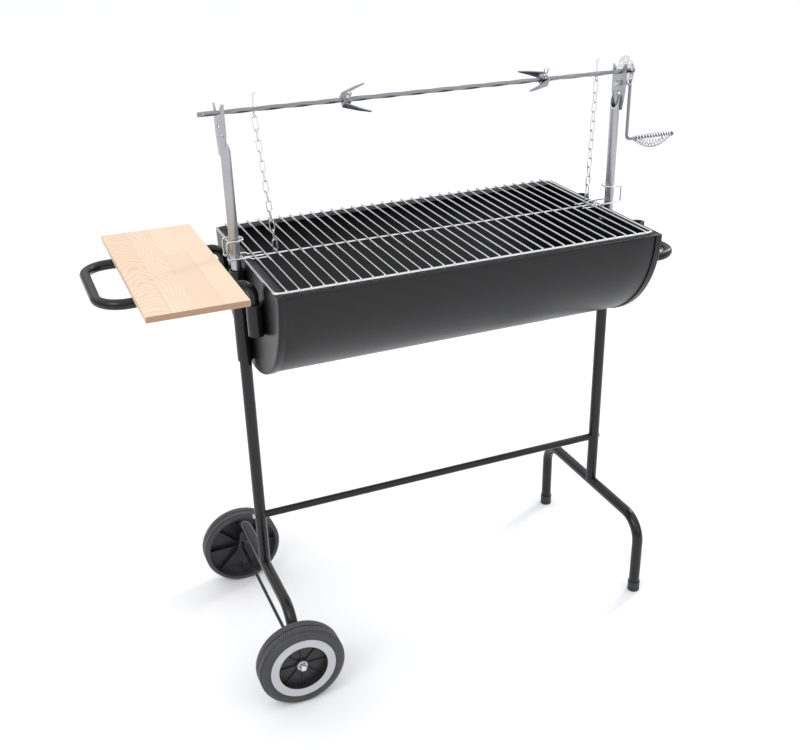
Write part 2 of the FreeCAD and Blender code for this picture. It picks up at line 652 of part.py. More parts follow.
def bush_pair(name, side, top, mouth_up):
    """Plastic bushes that fill each socket around the thinner handle tube."""
    bushes = []
    rim_z = top if mouth_up else "%s - Sizes.socket_length - Sizes.bush_rim" % top
    for index, across in enumerate((-1, 1)):
        centre = ("%d * %s" % (side, SOCKET_X), "%d * Sizes.handle_half_width" % across)
        tag = "Bush%s%d" % (name, index)
        body = cylinder(tag + "Body", centre + ("%s - Sizes.socket_length" % top,),
                        "Sizes.socket_outer / 2 - Sizes.socket_wall - Sizes.sheet_gap",
                        "Sizes.socket_length")
        rim = cylinder(tag + "Rim", centre + (rim_z,), "Sizes.socket_outer / 2", "Sizes.bush_rim")
        bore = cylinder(tag + "Bore", centre + ("%s - 2 * Sizes.socket_length" % top,),
                        "Sizes.handle_outer / 2 + Sizes.sheet_gap", "3 * Sizes.socket_length")
        bushes.append(cut(tag, fuse(tag + "Blank", body, rim), bore))
    keep("bushes_" + name, compound("Bushes" + name, *bushes))


def tray_board():
    """The board, drilled from below for the clips' screws."""
    low = "Sizes.left_handle_height + Sizes.handle_outer / 2 + Sizes.sheet_gap"
    board = box("TrayBlank", ("-Sizes.tray_middle - Sizes.tray_width / 2",
                              "Sizes.tray_offset - Sizes.tray_length / 2", low),
                "Sizes.tray_width", "Sizes.tray_length", "Sizes.tray_thickness")
    doc.recompute()
    rounded = doc.addObject("Part::Fillet", "TrayEased")
    rounded.Base = board
    rounded.Edges = [(index + 1, size("tray_edge"), size("tray_edge"))
                     for index in range(len(board.Shape.Edges))]
    pilots = [cylinder("Pilot%d" % index, ("%.3f" % x, "%.3f" % y, low), "Sizes.clip_screw / 2",
                       "Sizes.screw_grip") for index, (x, y) in enumerate(screw_places())]
    keep("tray_board", cut("TrayBoard", rounded, *pilots))


def clip_places():
    spread = size("clip_spacing") / 2
    return [(-size("tray_middle") + sx * spread, sy * size("handle_half_width"))
            for sx in (-1, 1) for sy in (-1, 1)]


def screw_places():
    """Two screws to each clip, one in either ear."""
    offset = size("handle_outer") / 2 + size("sheet_gap") + size("clip_sheet") + size("clip_ear") / 2
    return [(x, y + across * offset) for x, y in clip_places() for across in (-1, 1)]


def saddle_clip(x, y):
    """A strap under the handle tube, its ears screwed up into the board."""
    centre = Vector(x - size("clip_width") / 2, y, size("left_handle_height"))
    inner = size("handle_outer") / 2 + size("sheet_gap")
    outer = inner + size("clip_sheet")
    wide, ear = size("clip_width"), size("clip_ear")
    top = centre.z + inner
    ring = Part.makeCylinder(outer, wide, centre, X)
    sides_box = Part.makeBox(wide, 2 * outer, inner, Vector(centre.x, y - outer, centre.z))
    ears = Part.makeBox(wide, 2 * (outer + ear), size("clip_sheet"),
                        Vector(centre.x, y - outer - ear, top - size("clip_sheet")))
    hollow = Part.makeCylinder(inner, wide, centre, X)
    hollow = hollow.fuse(Part.makeBox(wide, 2 * inner, 2 * inner, Vector(centre.x, y - inner, centre.z)))
    above = Part.makeBox(wide, 4 * outer, outer, Vector(centre.x, y - 2 * outer, top))
    strap = ring.fuse([sides_box, ears]).cut(hollow.fuse(above))
    for across in (-1, 1):
        hole_y = y + across * (outer + ear / 2)
        strap = strap.cut(Part.makeCylinder(size("clip_screw") / 2 + size("hole_gap"), outer,
                                            Vector(x, hole_y, top - outer / 2), Z))
    return strap.removeSplitter()


def clip_screw(x, y):
    """A pan-head wood screw, its head under the clip's ear and its shank in the board."""
    top = size("left_handle_height") + size("handle_outer") / 2 + size("sheet_gap")
    under, tall = top - size("clip_sheet"), size("clip_head_height")
    head = Part.makeCylinder(size("clip_screw"), tall, Vector(x, y, under - tall), Z)
    reach = size("clip_sheet") + size("screw_grip")
    shank = Part.makeCylinder(size("clip_screw") / 2, reach, Vector(x, y, under), Z)
    return head.fuse(shank).removeSplitter()


def tray_fixings():
    clips = [saddle_clip(x, y) for x, y in clip_places()]
    keep("tray_clips", feature("TrayClips", Part.Compound(clips)))
    screws = [clip_screw(x, y) for x, y in screw_places()]
    keep("tray_screws", feature("TrayScrews", Part.Compound(screws)))


# --- cooking grid -------------------------------------------------------------------------

def grid_rim():
    """The heavier wire round the grid, with rounded corners."""
    left, right = left_end(), left_end() + size("grid_length")
    half, level, bend = size("grid_depth") / 2, grid_level(), size("grid_corner")
    middle = (left + right) / 2
    corners = [Vector(middle, -half, level), Vector(right, -half, level), Vector(right, half, level),
               Vector(left, half, level), Vector(left, -half, level), Vector(middle, -half, level)]
    wire = rounded_path(corners, [bend] * 4)
    keep("grid_rim", feature("GridRim", swept(wire, size("rim_wire") / 2)))


def grid_cross_wires():
    half = size("grid_depth") / 2 + size("rim_wire") / 2
    wires = [Part.makeCylinder(size("cross_wire") / 2, 2 * half,
                               Vector(cross_x(k), -half, cross_level()), Y)
             for k in range(int(size("cross_count")))]
    keep("grid_cross_wires", feature("GridCrossWires", Part.Compound(wires)))


def grid_centre_wire():
    """Runs the grid's length under the cross wires, between the rim's two ends."""
    start = "Sizes.grid_shift - Sizes.grid_length / 2 + Sizes.rim_wire / 2"
    level = "Sizes.rim_height + Sizes.grid_gap + Sizes.rim_wire / 2"
    keep("grid_centre_wire", cylinder("GridCentreWire", (start, "0", level), "Sizes.rim_wire / 2",
                                      "Sizes.grid_length - Sizes.rim_wire", "x"))


def grid_guide(name, side):
    """A wire bent round the post: tails under the cross wires, uprights outside the post,
    and a loop that closes round the post's inner side."""
    wire, half = size("guide_wire"), size("guide_half_width")
    low = cross_level() - (size("cross_wire") + wire) / 2
    high = grid_level() + (size("rim_wire") + wire) / 2
    rim_x = left_end() if side < 0 else left_end() + size("grid_length")
    end_wire = cross_x(0) if side < 0 else cross_x(int(size("cross_count")) - 1)
    step_in = (rim_x + end_wire) / 2
    outside = side * (post_x() + size("guide_outside"))
    inside = side * (post_x() - size("guide_inside"))
    tail = rim_x - side * size("guide_tail")
    lift = size("guide_rise") + high
    shift = size("guide_step")
    forward = [Vector(tail, -half, low), Vector(step_in - side * shift, -half, low),
               Vector(step_in + side * shift / 2, -half, high), Vector(outside, -half, high),
               Vector(outside, -half, lift), Vector(inside, -half, lift)]
    backward = [Vector(p.x, half, p.z) for p in reversed(forward)]
    bend, soft, loop = size("guide_bend"), size("guide_soft_bend"), size("guide_loop_bend")
    radii = [soft, soft, bend, bend, loop, loop, bend, bend, soft, soft]
    keep("guide_" + name, feature("Guide" + name, bent_bar(forward + backward, radii, wire / 2)))


# --- chains, their pins and hooks ---------------------------------------------------------

def eye_level():
    """Height of the middle of the eye that hangs under the rod."""
    return size("rod_height") - size("rod_side") / math.sqrt(2) - size("pin_eye") / 2


def hook_bottom():
    return cross_level() - size("cross_wire") / 2 - size("hook_wire") - size("hole_gap")


def hook_place(name):
    """The middle of the snap hook's upper bend, over the cross wire that it holds."""
    x = cross_x(int(size(name + "_hook_wire")))
    return Vector(x, size("hook_setback"), hook_bottom() + size("hook_height") - size("hook_wire") / 2)


def chain(name):
    """Links in a straight line from the pin's eye to the snap hook, each a quarter turn on."""
    wire, gap, count = size("chain_wire"), size("link_gap"), int(size("link_count"))
    eye_bottom = eye_level() - size("pin_eye") / 2
    top = Vector(size("chain_" + name), 0, eye_bottom + (size("pin_wire") + wire) / 2 + gap)
    hook = hook_place(name)
    bottom = hook - Z * ((size("hook_wire") + wire) / 2 + gap)
    down = (bottom - top).normalize()
    side = down.cross(Y).normalize()
    front = down.cross(side).normalize()
    lap = wire + gap
    extra = size("top_link_extra")
    tall = ((bottom - top).Length - extra + (count - 1) * lap) / count
    links = []
    place = top
    for index in range(count):
        height = tall + (extra if index == 0 else 0)
        across = side if index % 2 == 0 else front
        links.append(racetrack(place + down * (height / 2), across, down,
                               size("link_width") - wire, height, wire))
        place = place + down * (height - lap)
    keep("chain_" + name, feature("Chain" + name, Part.Compound(links)))


def chain_pin(name, x):
    """A wire pin through the rod, with an eye below it for the chain's top link."""
    wire = size("pin_wire")
    top = size("rod_height") + size("pin_above")
    foot = eye_level() + size("pin_eye") / 2 - wire / 2
    stem = bent_bar([Vector(x + size("pin_tip"), 0, top), Vector(x, 0, top), Vector(x, 0, foot)],
                    [size("pin_bend")], wire / 2)
    eye = Part.makeTorus(size("pin_eye") / 2, wire / 2, Vector(x, 0, eye_level()), X)
    keep("chain_pin_" + name, feature("ChainPin" + name, stem.fuse(eye).removeSplitter()))


def snap_hook(name):
    """A wire snap hook closed round a cross wire, with a gate sleeve on one side."""
    wire, tall = size("hook_wire"), size("hook_height")
    middle = hook_place(name) - Z * ((tall - wire) / 2)
    body = racetrack(middle, X, Z, size("hook_width") - wire, tall - wire, wire)
    side = middle + X * (size("hook_width") / 2 - wire / 2)
    long = size("gate_length")
    gate = Part.makeCylinder(size("gate_outer") / 2, long, side - Z * (long / 2), Z)
    keep("snap_hook_" + name, feature("SnapHook" + name, body.fuse(gate).removeSplitter()))


# --- spit rod, index disc, crank and grip -------------------------------------------------

def disc_x():
    return post_x() + size("disc_from_post")


def spit_rod():
    """A square bar lying in both posts' slots, drilled for the chain pins and at its tip."""
    blank = box("SpitBar", ("-Sizes.rod_left", "-Sizes.rod_side / 2",
                            "-Sizes.rod_side / 2"),
                "Sizes.rod_left + Sizes.rod_right", "Sizes.rod_side", "Sizes.rod_side")
    drills = [cylinder("PinHole" + name, ("Sizes.chain_" + name, "0", "-Sizes.rod_side"),
                       "Sizes.pin_wire / 2 + Sizes.sheet_gap / 2", "2 * Sizes.rod_side")
              for name in ("left", "right")]
    tip = cylinder("TipHole", ("-Sizes.rod_left + Sizes.tip_hole_setback", "-Sizes.rod_side", "0"),
                   "Sizes.tip_hole / 2", "2 * Sizes.rod_side", "y")
    obj = cut("SpitRod", blank, tip, *drills)
    obj.setExpression("Placement.Base.z", "Sizes.rod_height")
    keep("spit_rod", obj)


VOLUME_TOLERANCE = 0.02


def sketch_radius(geometry, alias):
    return Sketcher.Constraint("Radius", geometry, size(alias) / 2)


def index_disc():
    """A round plate on the rod with a ring of locking holes, its pattern made as one body."""
    body = doc.addObject("PartDesign::Body", "IndexDisc")
    plane = [f for f in body.Origin.OriginFeatures if f.Role == "XY_Plane"][0]
    outline = body.newObject("Sketcher::SketchObject", "DiscOutline")
    outline.AttachmentSupport = (plane, [""])
    outline.MapMode = "FlatFace"
    outline.addGeometry(Part.Circle(Vector(), Z, size("disc_diameter") / 2))
    outline.setExpression("Constraints[%d]" % outline.addConstraint(sketch_radius(0, "disc_diameter")),
                          "Sizes.disc_diameter / 2")
    half = size("rod_side") / 2 + size("sheet_gap") / 2
    square = [Vector(-half, -half), Vector(half, -half), Vector(half, half), Vector(-half, half)]
    for index, corner in enumerate(square):
        outline.addGeometry(Part.LineSegment(corner, square[(index + 1) % 4]))
    pad = body.newObject("PartDesign::Pad", "DiscPad")
    pad.Profile = outline
    pad.setExpression("Length", "Sizes.disc_thickness")
    hole = body.newObject("Sketcher::SketchObject", "DiscHole")
    hole.AttachmentSupport = (plane, [""])
    hole.MapMode = "FlatFace"
    hole.addGeometry(Part.Circle(Vector(0, size("disc_hole_circle") / 2, 0), Z,
                                 size("disc_hole") / 2))
    pocket = body.newObject("PartDesign::Pocket", "DiscPocket")
    pocket.Profile = hole
    pocket.Type = 1
    pocket.Reversed = True
    ring = body.newObject("PartDesign::PolarPattern", "DiscRing")
    ring.Originals = [pocket]
    ring.Axis = (outline, ["N_Axis"])
    ring.Angle = 360
    ring.setExpression("Occurrences", "Sizes.disc_holes")
    body.Tip = ring
    body.Placement = Placement(Vector(disc_x(), 0, size("rod_height")), Rotation(Y, 90))
    doc.recompute()
    solid = math.pi * size("disc_diameter") ** 2 / 4 - size("rod_side") ** 2
    drilled = size("disc_holes") * math.pi * size("disc_hole") ** 2 / 4
    expected = (solid - drilled) * size("disc_thickness")
    if abs(body.Shape.Volume - expected) > VOLUME_TOLERANCE * expected:
        raise RuntimeError("index disc: volume %.1f, expected %.1f" % (body.Shape.Volume, expected))
    keep("index_disc", body)


def crank_x():
    """The crank arm stands just inside the rod's end."""
    return size("rod_right") - size("crank_wire") / 4


def crank():
    """A hub on the rod's end and one bent bar, the arm and the handle spindle, with a knob."""
    rod, wire = size("rod_height"), size("crank_wire")
    low = rod - size("crank_drop")
    end = crank_x() + size("crank_handle")
    points = [Vector(crank_x(), 0, rod), Vector(crank_x(), 0, low), Vector(end, 0, low)]
    arm = bent_bar(points, [size("crank_bend")], wire / 2)
    knob = Part.makeCylinder(size("spindle_knob") / 2, size("knob_length"), points[-1], X)
    hub_x = size("rod_right") + wire / 2 - size("hub_length")
    boss = Part.makeCylinder(size("hub_outer") / 2, size("hub_length"), Vector(hub_x, 0, rod), X)
    half = size("rod_side") / 2 + size("sheet_gap") / 2
    square = Part.makeBox(size("rod_right") - hub_x, 2 * half, 2 * half,
                          Vector(hub_x, -half, rod - half))
    keep("crank", feature("Crank", boss.fuse([arm, knob]).removeSplitter().cut(square)))


GRIP_STEPS = 8


def crank_grip():
    """The wound-wire grip's outline: a barrel that hangs on the spindle, free to turn."""
    end = crank_x() + size("crank_handle") - size("grip_play")
    long, level = size("grip_length"), size("rod_height") - size("crank_drop")
    wire, spindle = size("grip_wire"), size("crank_wire") / 2
    crown = level + spindle + size("running_gap") + wire
    rings = []
    for step in range(GRIP_STEPS + 1):
        swell = math.sin(math.pi * step / GRIP_STEPS)
        radius = (size("grip_end") + swell * (size("grip_outer") - size("grip_end"))) / 2
        x = end - long + long * step / GRIP_STEPS
        centre = Vector(x, 0, crown - radius)
        rings.append(Part.Wire([Part.makeCircle(radius, centre, X)]))
    shape = Part.makeLoft(rings, True, True)
    bore = Part.makeCylinder(spindle + size("running_gap"), long, Vector(end - long, 0, level), X)
    keep("crank_grip", feature("CrankGrip", shape.cut(bore)))


def latch_bolt():
    """The fixed peg that the index disc's holes drop onto when the rod is pushed in."""
    outside = post_x() + size("post_outer") / 2
    z = size("rod_height") - size("latch_drop")
    end = disc_x() - size("latch_clearance")
    tall = size("latch_head_height")
    inner = outside - size("tongue_thickness") - size("latch_inner_reach") - tall
    peg = Part.makeCylinder(size("latch_diameter") / 2, end - inner, Vector(inner, 0, z), X)
    nut_x = outside + size("latch_nut_gap")
    nut = Part.makeCylinder(size("latch_nut") / 2, tall, Vector(nut_x, 0, z), X)
    head = Part.makeCylinder(size("latch_head") / 2, tall, Vector(inner, 0, z), X)
    keep("latch_bolt", feature("LatchBolt", peg.fuse([nut, head]).removeSplitter()))


# --- forks --------------------------------------------------------------------------------

def blade(across):
    """One prong: a strip bent outwards, as deep as the base at its root and pointed at its tip."""
    thick, long, bend = size("fork_sheet"), size("fork_length"), size("fork_bend")
    root, knee, spread = size("fork_root"), size("fork_knee"), size("fork_spread")
    outer = [(0, root), (bend, knee), (long, spread)]
    inner = [(long, spread - thick), (bend + thick / 2, knee - thick),
             (thick / 2, root - thick), (0, root - thick)]
    plan = polygon([Vector(x, across * y, -size("fork_depth")) for x, y in outer + inner])
    strip = plan.extrude(Z * (2 * size("fork_depth")))
    deep, middle, tip = size("fork_depth") / 2, size("knee_depth") / 2, size("tip_depth") / 2
    upper = [(0, deep), (thick, deep), (bend, middle), (long, tip)]
    side = polygon([Vector(x, -2 * spread, z) for x, z in upper]
                   + [Vector(x, -2 * spread, -z) for x, z in reversed(upper)])
    return strip.common(side.extrude(Y * (4 * spread)))


def on_rod(shape, x, facing, turn):
    """Stand a shape made about the origin on the rod, facing either way and turned about it."""
    if facing < 0:
        shape.rotate(Vector(), Z, 180)
    shape.rotate(Vector(), X, turn)
    shape.translate(Vector(x, 0, size("rod_height")))
    return shape


def fork(name, x, facing, turn):
    """A folded strip across the rod with a clamping hub and a bent, pointed prong each side."""
    rod, thick, deep = size("rod_height"), size("fork_sheet"), size("fork_depth")
    root, hub_half, hub_long = size("fork_root"), size("fork_hub") / 2, size("fork_hub_length")
    base = Part.makeBox(thick, 2 * root, deep, Vector(0, -root, -deep / 2))
    hub_block = Part.makeBox(hub_long, 2 * hub_half, 2 * hub_half, Vector(thick / 2, -hub_half, -hub_half))
    shape = base.fuse([hub_block, blade(1), blade(-1)])
    screw_hole = Part.makeCylinder(size("thumb_screw") / 2 + size("running_gap"), deep,
                                   Vector(thick / 2 + hub_long / 2, 0, 0), Z)
    shape = on_rod(shape.cut(screw_hole), x, facing, turn)
    hole = size("rod_side") / 2 + size("fork_gap")
    passage = Part.makeBox(4 * hub_long, 2 * hole, 2 * hole, Vector(x - 2 * hub_long, -hole, rod - hole))
    keep("fork_" + name, feature("Fork" + name, shape.cut(passage).removeSplitter()))


def thumb_screw(name, x, facing, turn):
    """A clamping screw through the fork's hub, with a long eye to turn it by."""
    wire, hub_half = size("thumb_wire"), size("fork_hub") / 2
    low = size("rod_side") / math.sqrt(2) + size("fork_gap")
    top = hub_half + size("thumb_reach")
    middle = (size("fork_sheet") + size("fork_hub_length")) / 2
    shank = Part.makeCylinder(size("thumb_screw") / 2, top - low, Vector(middle, 0, low), Z)
    tall = size("thumb_ring") - wire
    eye = racetrack(Vector(middle, 0, top + tall / 2), X, Z, size("thumb_ring_width") - wire, tall, wire)
    shape = on_rod(shank.fuse(eye).removeSplitter(), x, facing, turn)
    keep("thumb_screw_" + name, feature("ThumbScrew" + name, shape))


# --- the whole barbecue -------------------------------------------------------------------

def centre_on_origin():
    """Move every sub-part along X, so that the origin is under the middle of the whole."""
    move = Placement(X * size("origin_shift"), Rotation())
    for obj in nodes:
        bound = {path.strip("."): text for path, text in obj.ExpressionEngine}
        across = bound.get("Placement.Base.x")
        if across:
            obj.setExpression("Placement.Base.x", "(%s) + Sizes.origin_shift" % across)
        else:
            obj.Placement = move.multiply(obj.Placement)


trough_shell()
for name, side in sides():
    end_plate("EndPlate" + name, side)
    sleeve_bolts(name, side)
    sleeve(name, side)
    leg(name, side)
    post(name, side)
right_foot()
left_foot()
foot_caps()
brace()
axle()
axle_fixings()
for name, side in (("front", -1), ("rear", 1)):
    tyre(name, side)
    hub(name, side)
    hub_ring(name, side)
handle("left", -1, size("left_handle_height"), size("left_handle_reach"),
       size("left_socket_top") - size("socket_length"))
handle("right", 1, size("right_handle_height"), size("right_handle_reach"),
       size("right_socket_top"))
socket_pair("left", -1, "Sizes.left_socket_top")
socket_pair("right", 1, "Sizes.right_socket_top")
bush_pair("left", -1, "Sizes.left_socket_top", True)
bush_pair("right", 1, "Sizes.right_socket_top", False)
tray_board()
tray_fixings()
grid_rim()
grid_cross_wires()
grid_centre_wire()
for name, side in sides():
    grid_guide(name, side)
spit_rod()
index_disc()
crank()
crank_grip()
latch_bolt()
for name, side in sides():
    chain(name)
    chain_pin(name, size("chain_" + name))
    snap_hook(name)
for name, side in sides():
    place = (size(name + "_fork"), -side, size(name + "_fork_turn"))
    fork(name, *place)
    thumb_screw(name, *place)
centre_on_origin()
doc.recompute()

for obj in doc.Objects:
    if {"Invalid", "Error"} & set(obj.State):
        raise RuntimeError("%s failed: %s" % (obj.Name, obj.State))
os.makedirs("parts", exist_ok=True)
for obj in nodes:
    if obj.Shape.isNull() or not obj.Shape.isValid():
        raise RuntimeError("%s has no valid shape" % obj.Label)
    obj.Shape.exportStep("parts/%s.step" % obj.Label)
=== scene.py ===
import math
import bpy
from mathutils import Matrix, Vector


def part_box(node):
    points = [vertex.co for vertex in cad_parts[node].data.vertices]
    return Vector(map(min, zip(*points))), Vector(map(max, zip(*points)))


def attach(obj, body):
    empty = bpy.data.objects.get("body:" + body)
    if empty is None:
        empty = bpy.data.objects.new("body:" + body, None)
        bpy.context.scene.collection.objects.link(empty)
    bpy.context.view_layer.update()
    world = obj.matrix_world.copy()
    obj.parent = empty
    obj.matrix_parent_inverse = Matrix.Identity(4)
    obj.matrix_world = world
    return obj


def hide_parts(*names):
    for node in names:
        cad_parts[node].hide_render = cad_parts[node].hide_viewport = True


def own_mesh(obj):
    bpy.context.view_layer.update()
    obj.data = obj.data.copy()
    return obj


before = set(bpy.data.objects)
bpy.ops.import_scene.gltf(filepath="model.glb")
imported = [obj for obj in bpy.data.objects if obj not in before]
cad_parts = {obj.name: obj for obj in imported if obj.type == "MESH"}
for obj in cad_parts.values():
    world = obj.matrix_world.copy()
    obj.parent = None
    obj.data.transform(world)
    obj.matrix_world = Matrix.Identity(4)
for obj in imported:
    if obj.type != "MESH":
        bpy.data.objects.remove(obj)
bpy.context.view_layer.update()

# --- Studio -------------------------------------------------------------------------------
# A pale sweep of floor under an even white sky, with a large soft key from the left, a strip
# light behind on the right and a fill from the front. The camera stands front left.

camera = bpy.data.objects.new("camera", bpy.data.cameras.new("camera"))
bpy.context.scene.collection.objects.link(camera)
bpy.context.scene.camera = camera
camera.data.lens = 48.26
camera.data.shift_x = -0.019
camera.data.shift_y = 0.016
camera.data.clip_end = 200
turned, raised, rolled = math.radians(-22.807), math.radians(26.404), math.radians(-1.108)
towards = Vector((math.sin(turned) * math.cos(raised), -math.cos(turned) * math.cos(raised),
                  math.sin(raised)))
level = Vector((math.cos(turned), math.sin(turned), 0))
upright = towards.cross(level)
across = math.cos(rolled) * level + math.sin(rolled) * upright
above = math.cos(rolled) * upright - math.sin(rolled) * level
camera.matrix_world = Matrix.Translation((-0.6529, -1.5851, 1.2973)) @ Matrix(
    (across, above, towards)).transposed().to_4x4()
bpy.context.scene.view_settings.view_transform = "Standard"


class Socket:
    """A node's output. Sums written on it add Math nodes, and node() adds any other kind."""

    def __init__(self, tree, link=None):
        self.tree = tree
        self.link = link

    def node(self, kind, inputs=(), out=0, stops=(), **settings):
        made = self.tree.nodes.new(kind)
        for name, value in settings.items():
            setattr(made, name, value)
        if stops:
            ends = made.color_ramp.elements
            ends[0].position, ends[0].color = stops[0]
            ends[1].position, ends[1].color = stops[-1]
            for place, colour in stops[1:-1]:
                ends.new(place).color = colour
        for name, value in dict(inputs).items():
            if isinstance(value, Socket):
                self.tree.links.new(value.link, made.inputs[name])
            else:
                made.inputs[name].default_value = value
        return Socket(self.tree, made.outputs[out])

    def sum(self, operation, *terms):
        return self.node("ShaderNodeMath", enumerate(terms), operation=operation)

    def __add__(self, other):
        return self.sum("ADD", self, other)

    def __sub__(self, other):
        return self.sum("SUBTRACT", self, other)

    def __rsub__(self, other):
        return self.sum("SUBTRACT", other, self)

    def __mul__(self, other):
        return self.sum("MULTIPLY", self, other)

    def __truediv__(self, other):
        return self.sum("DIVIDE", self, other)

    def __abs__(self):
        return self.sum("ABSOLUTE", self)

    __radd__ = __add__
    __rmul__ = __mul__

    def mix(self, low, high):
        """The colour low where this is 0, and high where it is 1."""
        return self.node("ShaderNodeMix", {0: self, 6: low, 7: high}, out=2, data_type="RGBA")

    def part(self, axis):
        """One coordinate of a vector."""
        return self.node("ShaderNodeSeparateXYZ", {0: self}, out=axis)

    def stretched(self, *factors):
        return self.node("ShaderNodeVectorMath", {0: self, 1: factors}, operation="MULTIPLY")

    def noise(self, scale, detail=3.0, rough=0.5, **more):
        return self.node("ShaderNodeTexNoise", dict(
            {"Vector": self, "Scale": scale, "Detail": detail, "Roughness": rough}, **more))


def material(name, build, **uniform):
    """build gives what varies over the surface; uniform values go on the shader's own sockets."""
    made = bpy.data.materials.new(name)
    made.use_nodes = True
    shader = made.node_tree.nodes["Principled BSDF"]
    place = Socket(made.node_tree).node("ShaderNodeTexCoord", out=3)
    varied = build(place)
    height, depth = varied.pop("bump", (None, 0))
    if height is not None:
        varied["Normal"] = height.node("ShaderNodeBump", {"Height": height, "Strength": 1.0,
                                                          "Distance": depth})
    for socket, value in uniform.items():
        shader.inputs[socket.replace("_", " ")].default_value = value
    for socket, value in varied.items():
        made.node_tree.links.new(value.link, shader.inputs[socket])
    return made


def sweep_paper(place):
    mottle = place.noise(3.0)
    return {"Base Color": mottle.mix((0.95, 0.95, 0.955, 1), (0.965, 0.965, 0.97, 1)),
            "Roughness": mottle * 0.1 + 0.75}


floor_mesh = bpy.data.meshes.new("floor")
reach = 60.0
floor_mesh.from_pydata([(-reach, -reach, 0), (reach, -reach, 0), (reach, reach, 0), (-reach, reach, 0)],
                       [], [(0, 1, 2, 3)])
floor_mesh.materials.append(material("sweep_paper", sweep_paper, Specular_IOR_Level=0.0))
floor = bpy.data.objects.new("floor", floor_mesh)
bpy.context.scene.collection.objects.link(floor)

world = bpy.data.worlds.new("sky")
bpy.context.scene.world = world
world.use_nodes = True
sky = world.node_tree.nodes["Background"]
aim = Socket(world.node_tree).node("ShaderNodeTexCoord", out=0)
height = aim.part(2)
ceiling = height.node("ShaderNodeMapRange", {0: height, 1: 0.05, 2: 0.55, 3: 0.0, 4: 1.0})
overhead = ceiling.mix((0.16, 0.16, 0.17, 1), (0.97, 0.98, 1.0, 1))
world.node_tree.links.new(overhead.link, sky.inputs["Color"])
sky.inputs["Strength"].default_value = 1.18


def soft_light(name, place, aim, size, power, colour=(1, 1, 1)):
    lamp = bpy.data.lights.new(name, "AREA")
    lamp.shape = "RECTANGLE"
    lamp.size, lamp.size_y = size
    lamp.energy = power
    lamp.color = colour
    light = bpy.data.objects.new(name, lamp)
    bpy.context.scene.collection.objects.link(light)
    light.location = place
    light.rotation_euler = (Vector(aim) - Vector(place)).to_track_quat("-Z", "Y").to_euler()


soft_light("key", (-2.2, -1.6, 2.6), (0, 0, 0.6), (1.6, 1.6), 26)
soft_light("strip", (2.4, 1.0, 2.2), (0, 0, 0.6), (0.5, 2.0), 24)
soft_light("fill", (1.2, -2.8, 1.4), (0, 0, 0.5), (1.4, 1.4), 5)


# --- Trough shell -------------------------------------------------------------------------
# A half barrel rolled from 1.5 mm sheet, its long edges folded in as flat flanges that the
# grid rests on. Satin black stove enamel inside and out.

sheet = 0.0015
shell_fold = 0.0028
low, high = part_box("trough_shell")
barrel = high.y
rim = high.z


def black_enamel(name, gloss, shade=0.004):
    """Black paint with a faint orange peel, slightly uneven gloss, painted top light on upward faces and a
    few pale specks.
    """
    def build(place):
        cloud = place.noise(7.0, 4.0, 0.6)
        peel = place.noise(420.0, 2.0)
        fine = place.noise(1500.0, 1.0)
        speck = fine.sum("GREATER_THAN", fine, 0.74)
        facing = place.node("ShaderNodeNewGeometry", out=1).part(2)
        # Painted top light: upward-facing surfaces are painted lighter in cloudy patches, and random pale
        # specks are added.
        painted_top_light_and_specks = facing.sum("MAXIMUM", facing, 0.0) * cloud * 0.10 + speck * 0.04
        black = cloud.mix((shade, shade, shade * 1.12, 1), (shade * 1.5, shade * 1.5, shade * 1.7, 1))
        return {"Base Color": painted_top_light_and_specks.mix(black, (0.12, 0.115, 0.11, 1)),
                "Roughness": gloss + cloud * 0.10 + painted_top_light_and_specks * 0.5,
                "bump": (peel + speck * 0.4, 0.00004)}
    return material(name, build, IOR=1.41)


trough_enamel = black_enamel("trough_enamel", 0.30)


def piece(name, points, faces, finish, smooth=35):
    """A mesh object at the origin, shaded smooth except where faces meet sharply."""
    mesh = bpy.data.meshes.new(name)
    mesh.from_pydata([tuple(p) for p in points], [], faces)
    mesh.materials.append(finish)
    mesh.shade_smooth()
    mesh.set_sharp_from_angle(angle=math.radians(smooth))
    made = bpy.data.objects.new(name, mesh)
    bpy.context.scene.collection.objects.link(made)
    return made


def grid_faces(rows, columns, closed=False):
    """Quads over rows of columns points; closed joins each row's last point to its first."""
    last = columns if closed else columns - 1
    return [(r * columns + c, r * columns + (c + 1) % columns, (r + 1) * columns + (c + 1) % columns,
             (r + 1) * columns + c) for r in range(rows - 1) for c in range(last)]


def settle(made):
    """Turn live modifiers into plain mesh."""
    shape = bpy.data.meshes.new_from_object(
        made.evaluated_get(bpy.context.evaluated_depsgraph_get()))
    made.modifiers.clear()
    made.data = shape
    return made


def pressed(made, thickness, fold, inward=-1):
    """Round the folds of a bent sheet, give it its thickness and ease its cut edges."""
    bend = made.modifiers.new("fold", "BEVEL")
    bend.width, bend.segments = fold, 4
    bend.limit_method, bend.angle_limit = "ANGLE", math.radians(50)
    wall = made.modifiers.new("wall", "SOLIDIFY")
    wall.thickness, wall.offset = thickness, inward
    wall.use_even_offset = True
    edge = made.modifiers.new("edge", "BEVEL")
    edge.width, edge.segments = thickness / 4, 2
    edge.limit_method, edge.angle_limit = "ANGLE", math.radians(60)
    edge.use_clamp_overlap = True
    settle(made)
    made.data.shade_smooth()
    made.data.set_sharp_from_angle(angle=math.radians(35))
    return made


flange = 0.020
arc_steps, run_steps = 72, 12
outline = [(-barrel + flange, rim)]
outline += [(-barrel * math.cos(math.pi * k / arc_steps), rim - barrel * math.sin(math.pi * k / arc_steps))
            for k in range(arc_steps + 1)]
outline += [(barrel - flange, rim)]
stations = [low.x + (high.x - low.x) * k / run_steps for k in range(run_steps + 1)]
shell = piece("trough_skin", [(x, y, z) for x in stations for y, z in outline],
              grid_faces(len(stations), len(outline)), trough_enamel)
shell.data.flip_normals()
pressed(shell, sheet, shell_fold, 1)
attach(shell, "frame")
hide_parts("trough_shell")


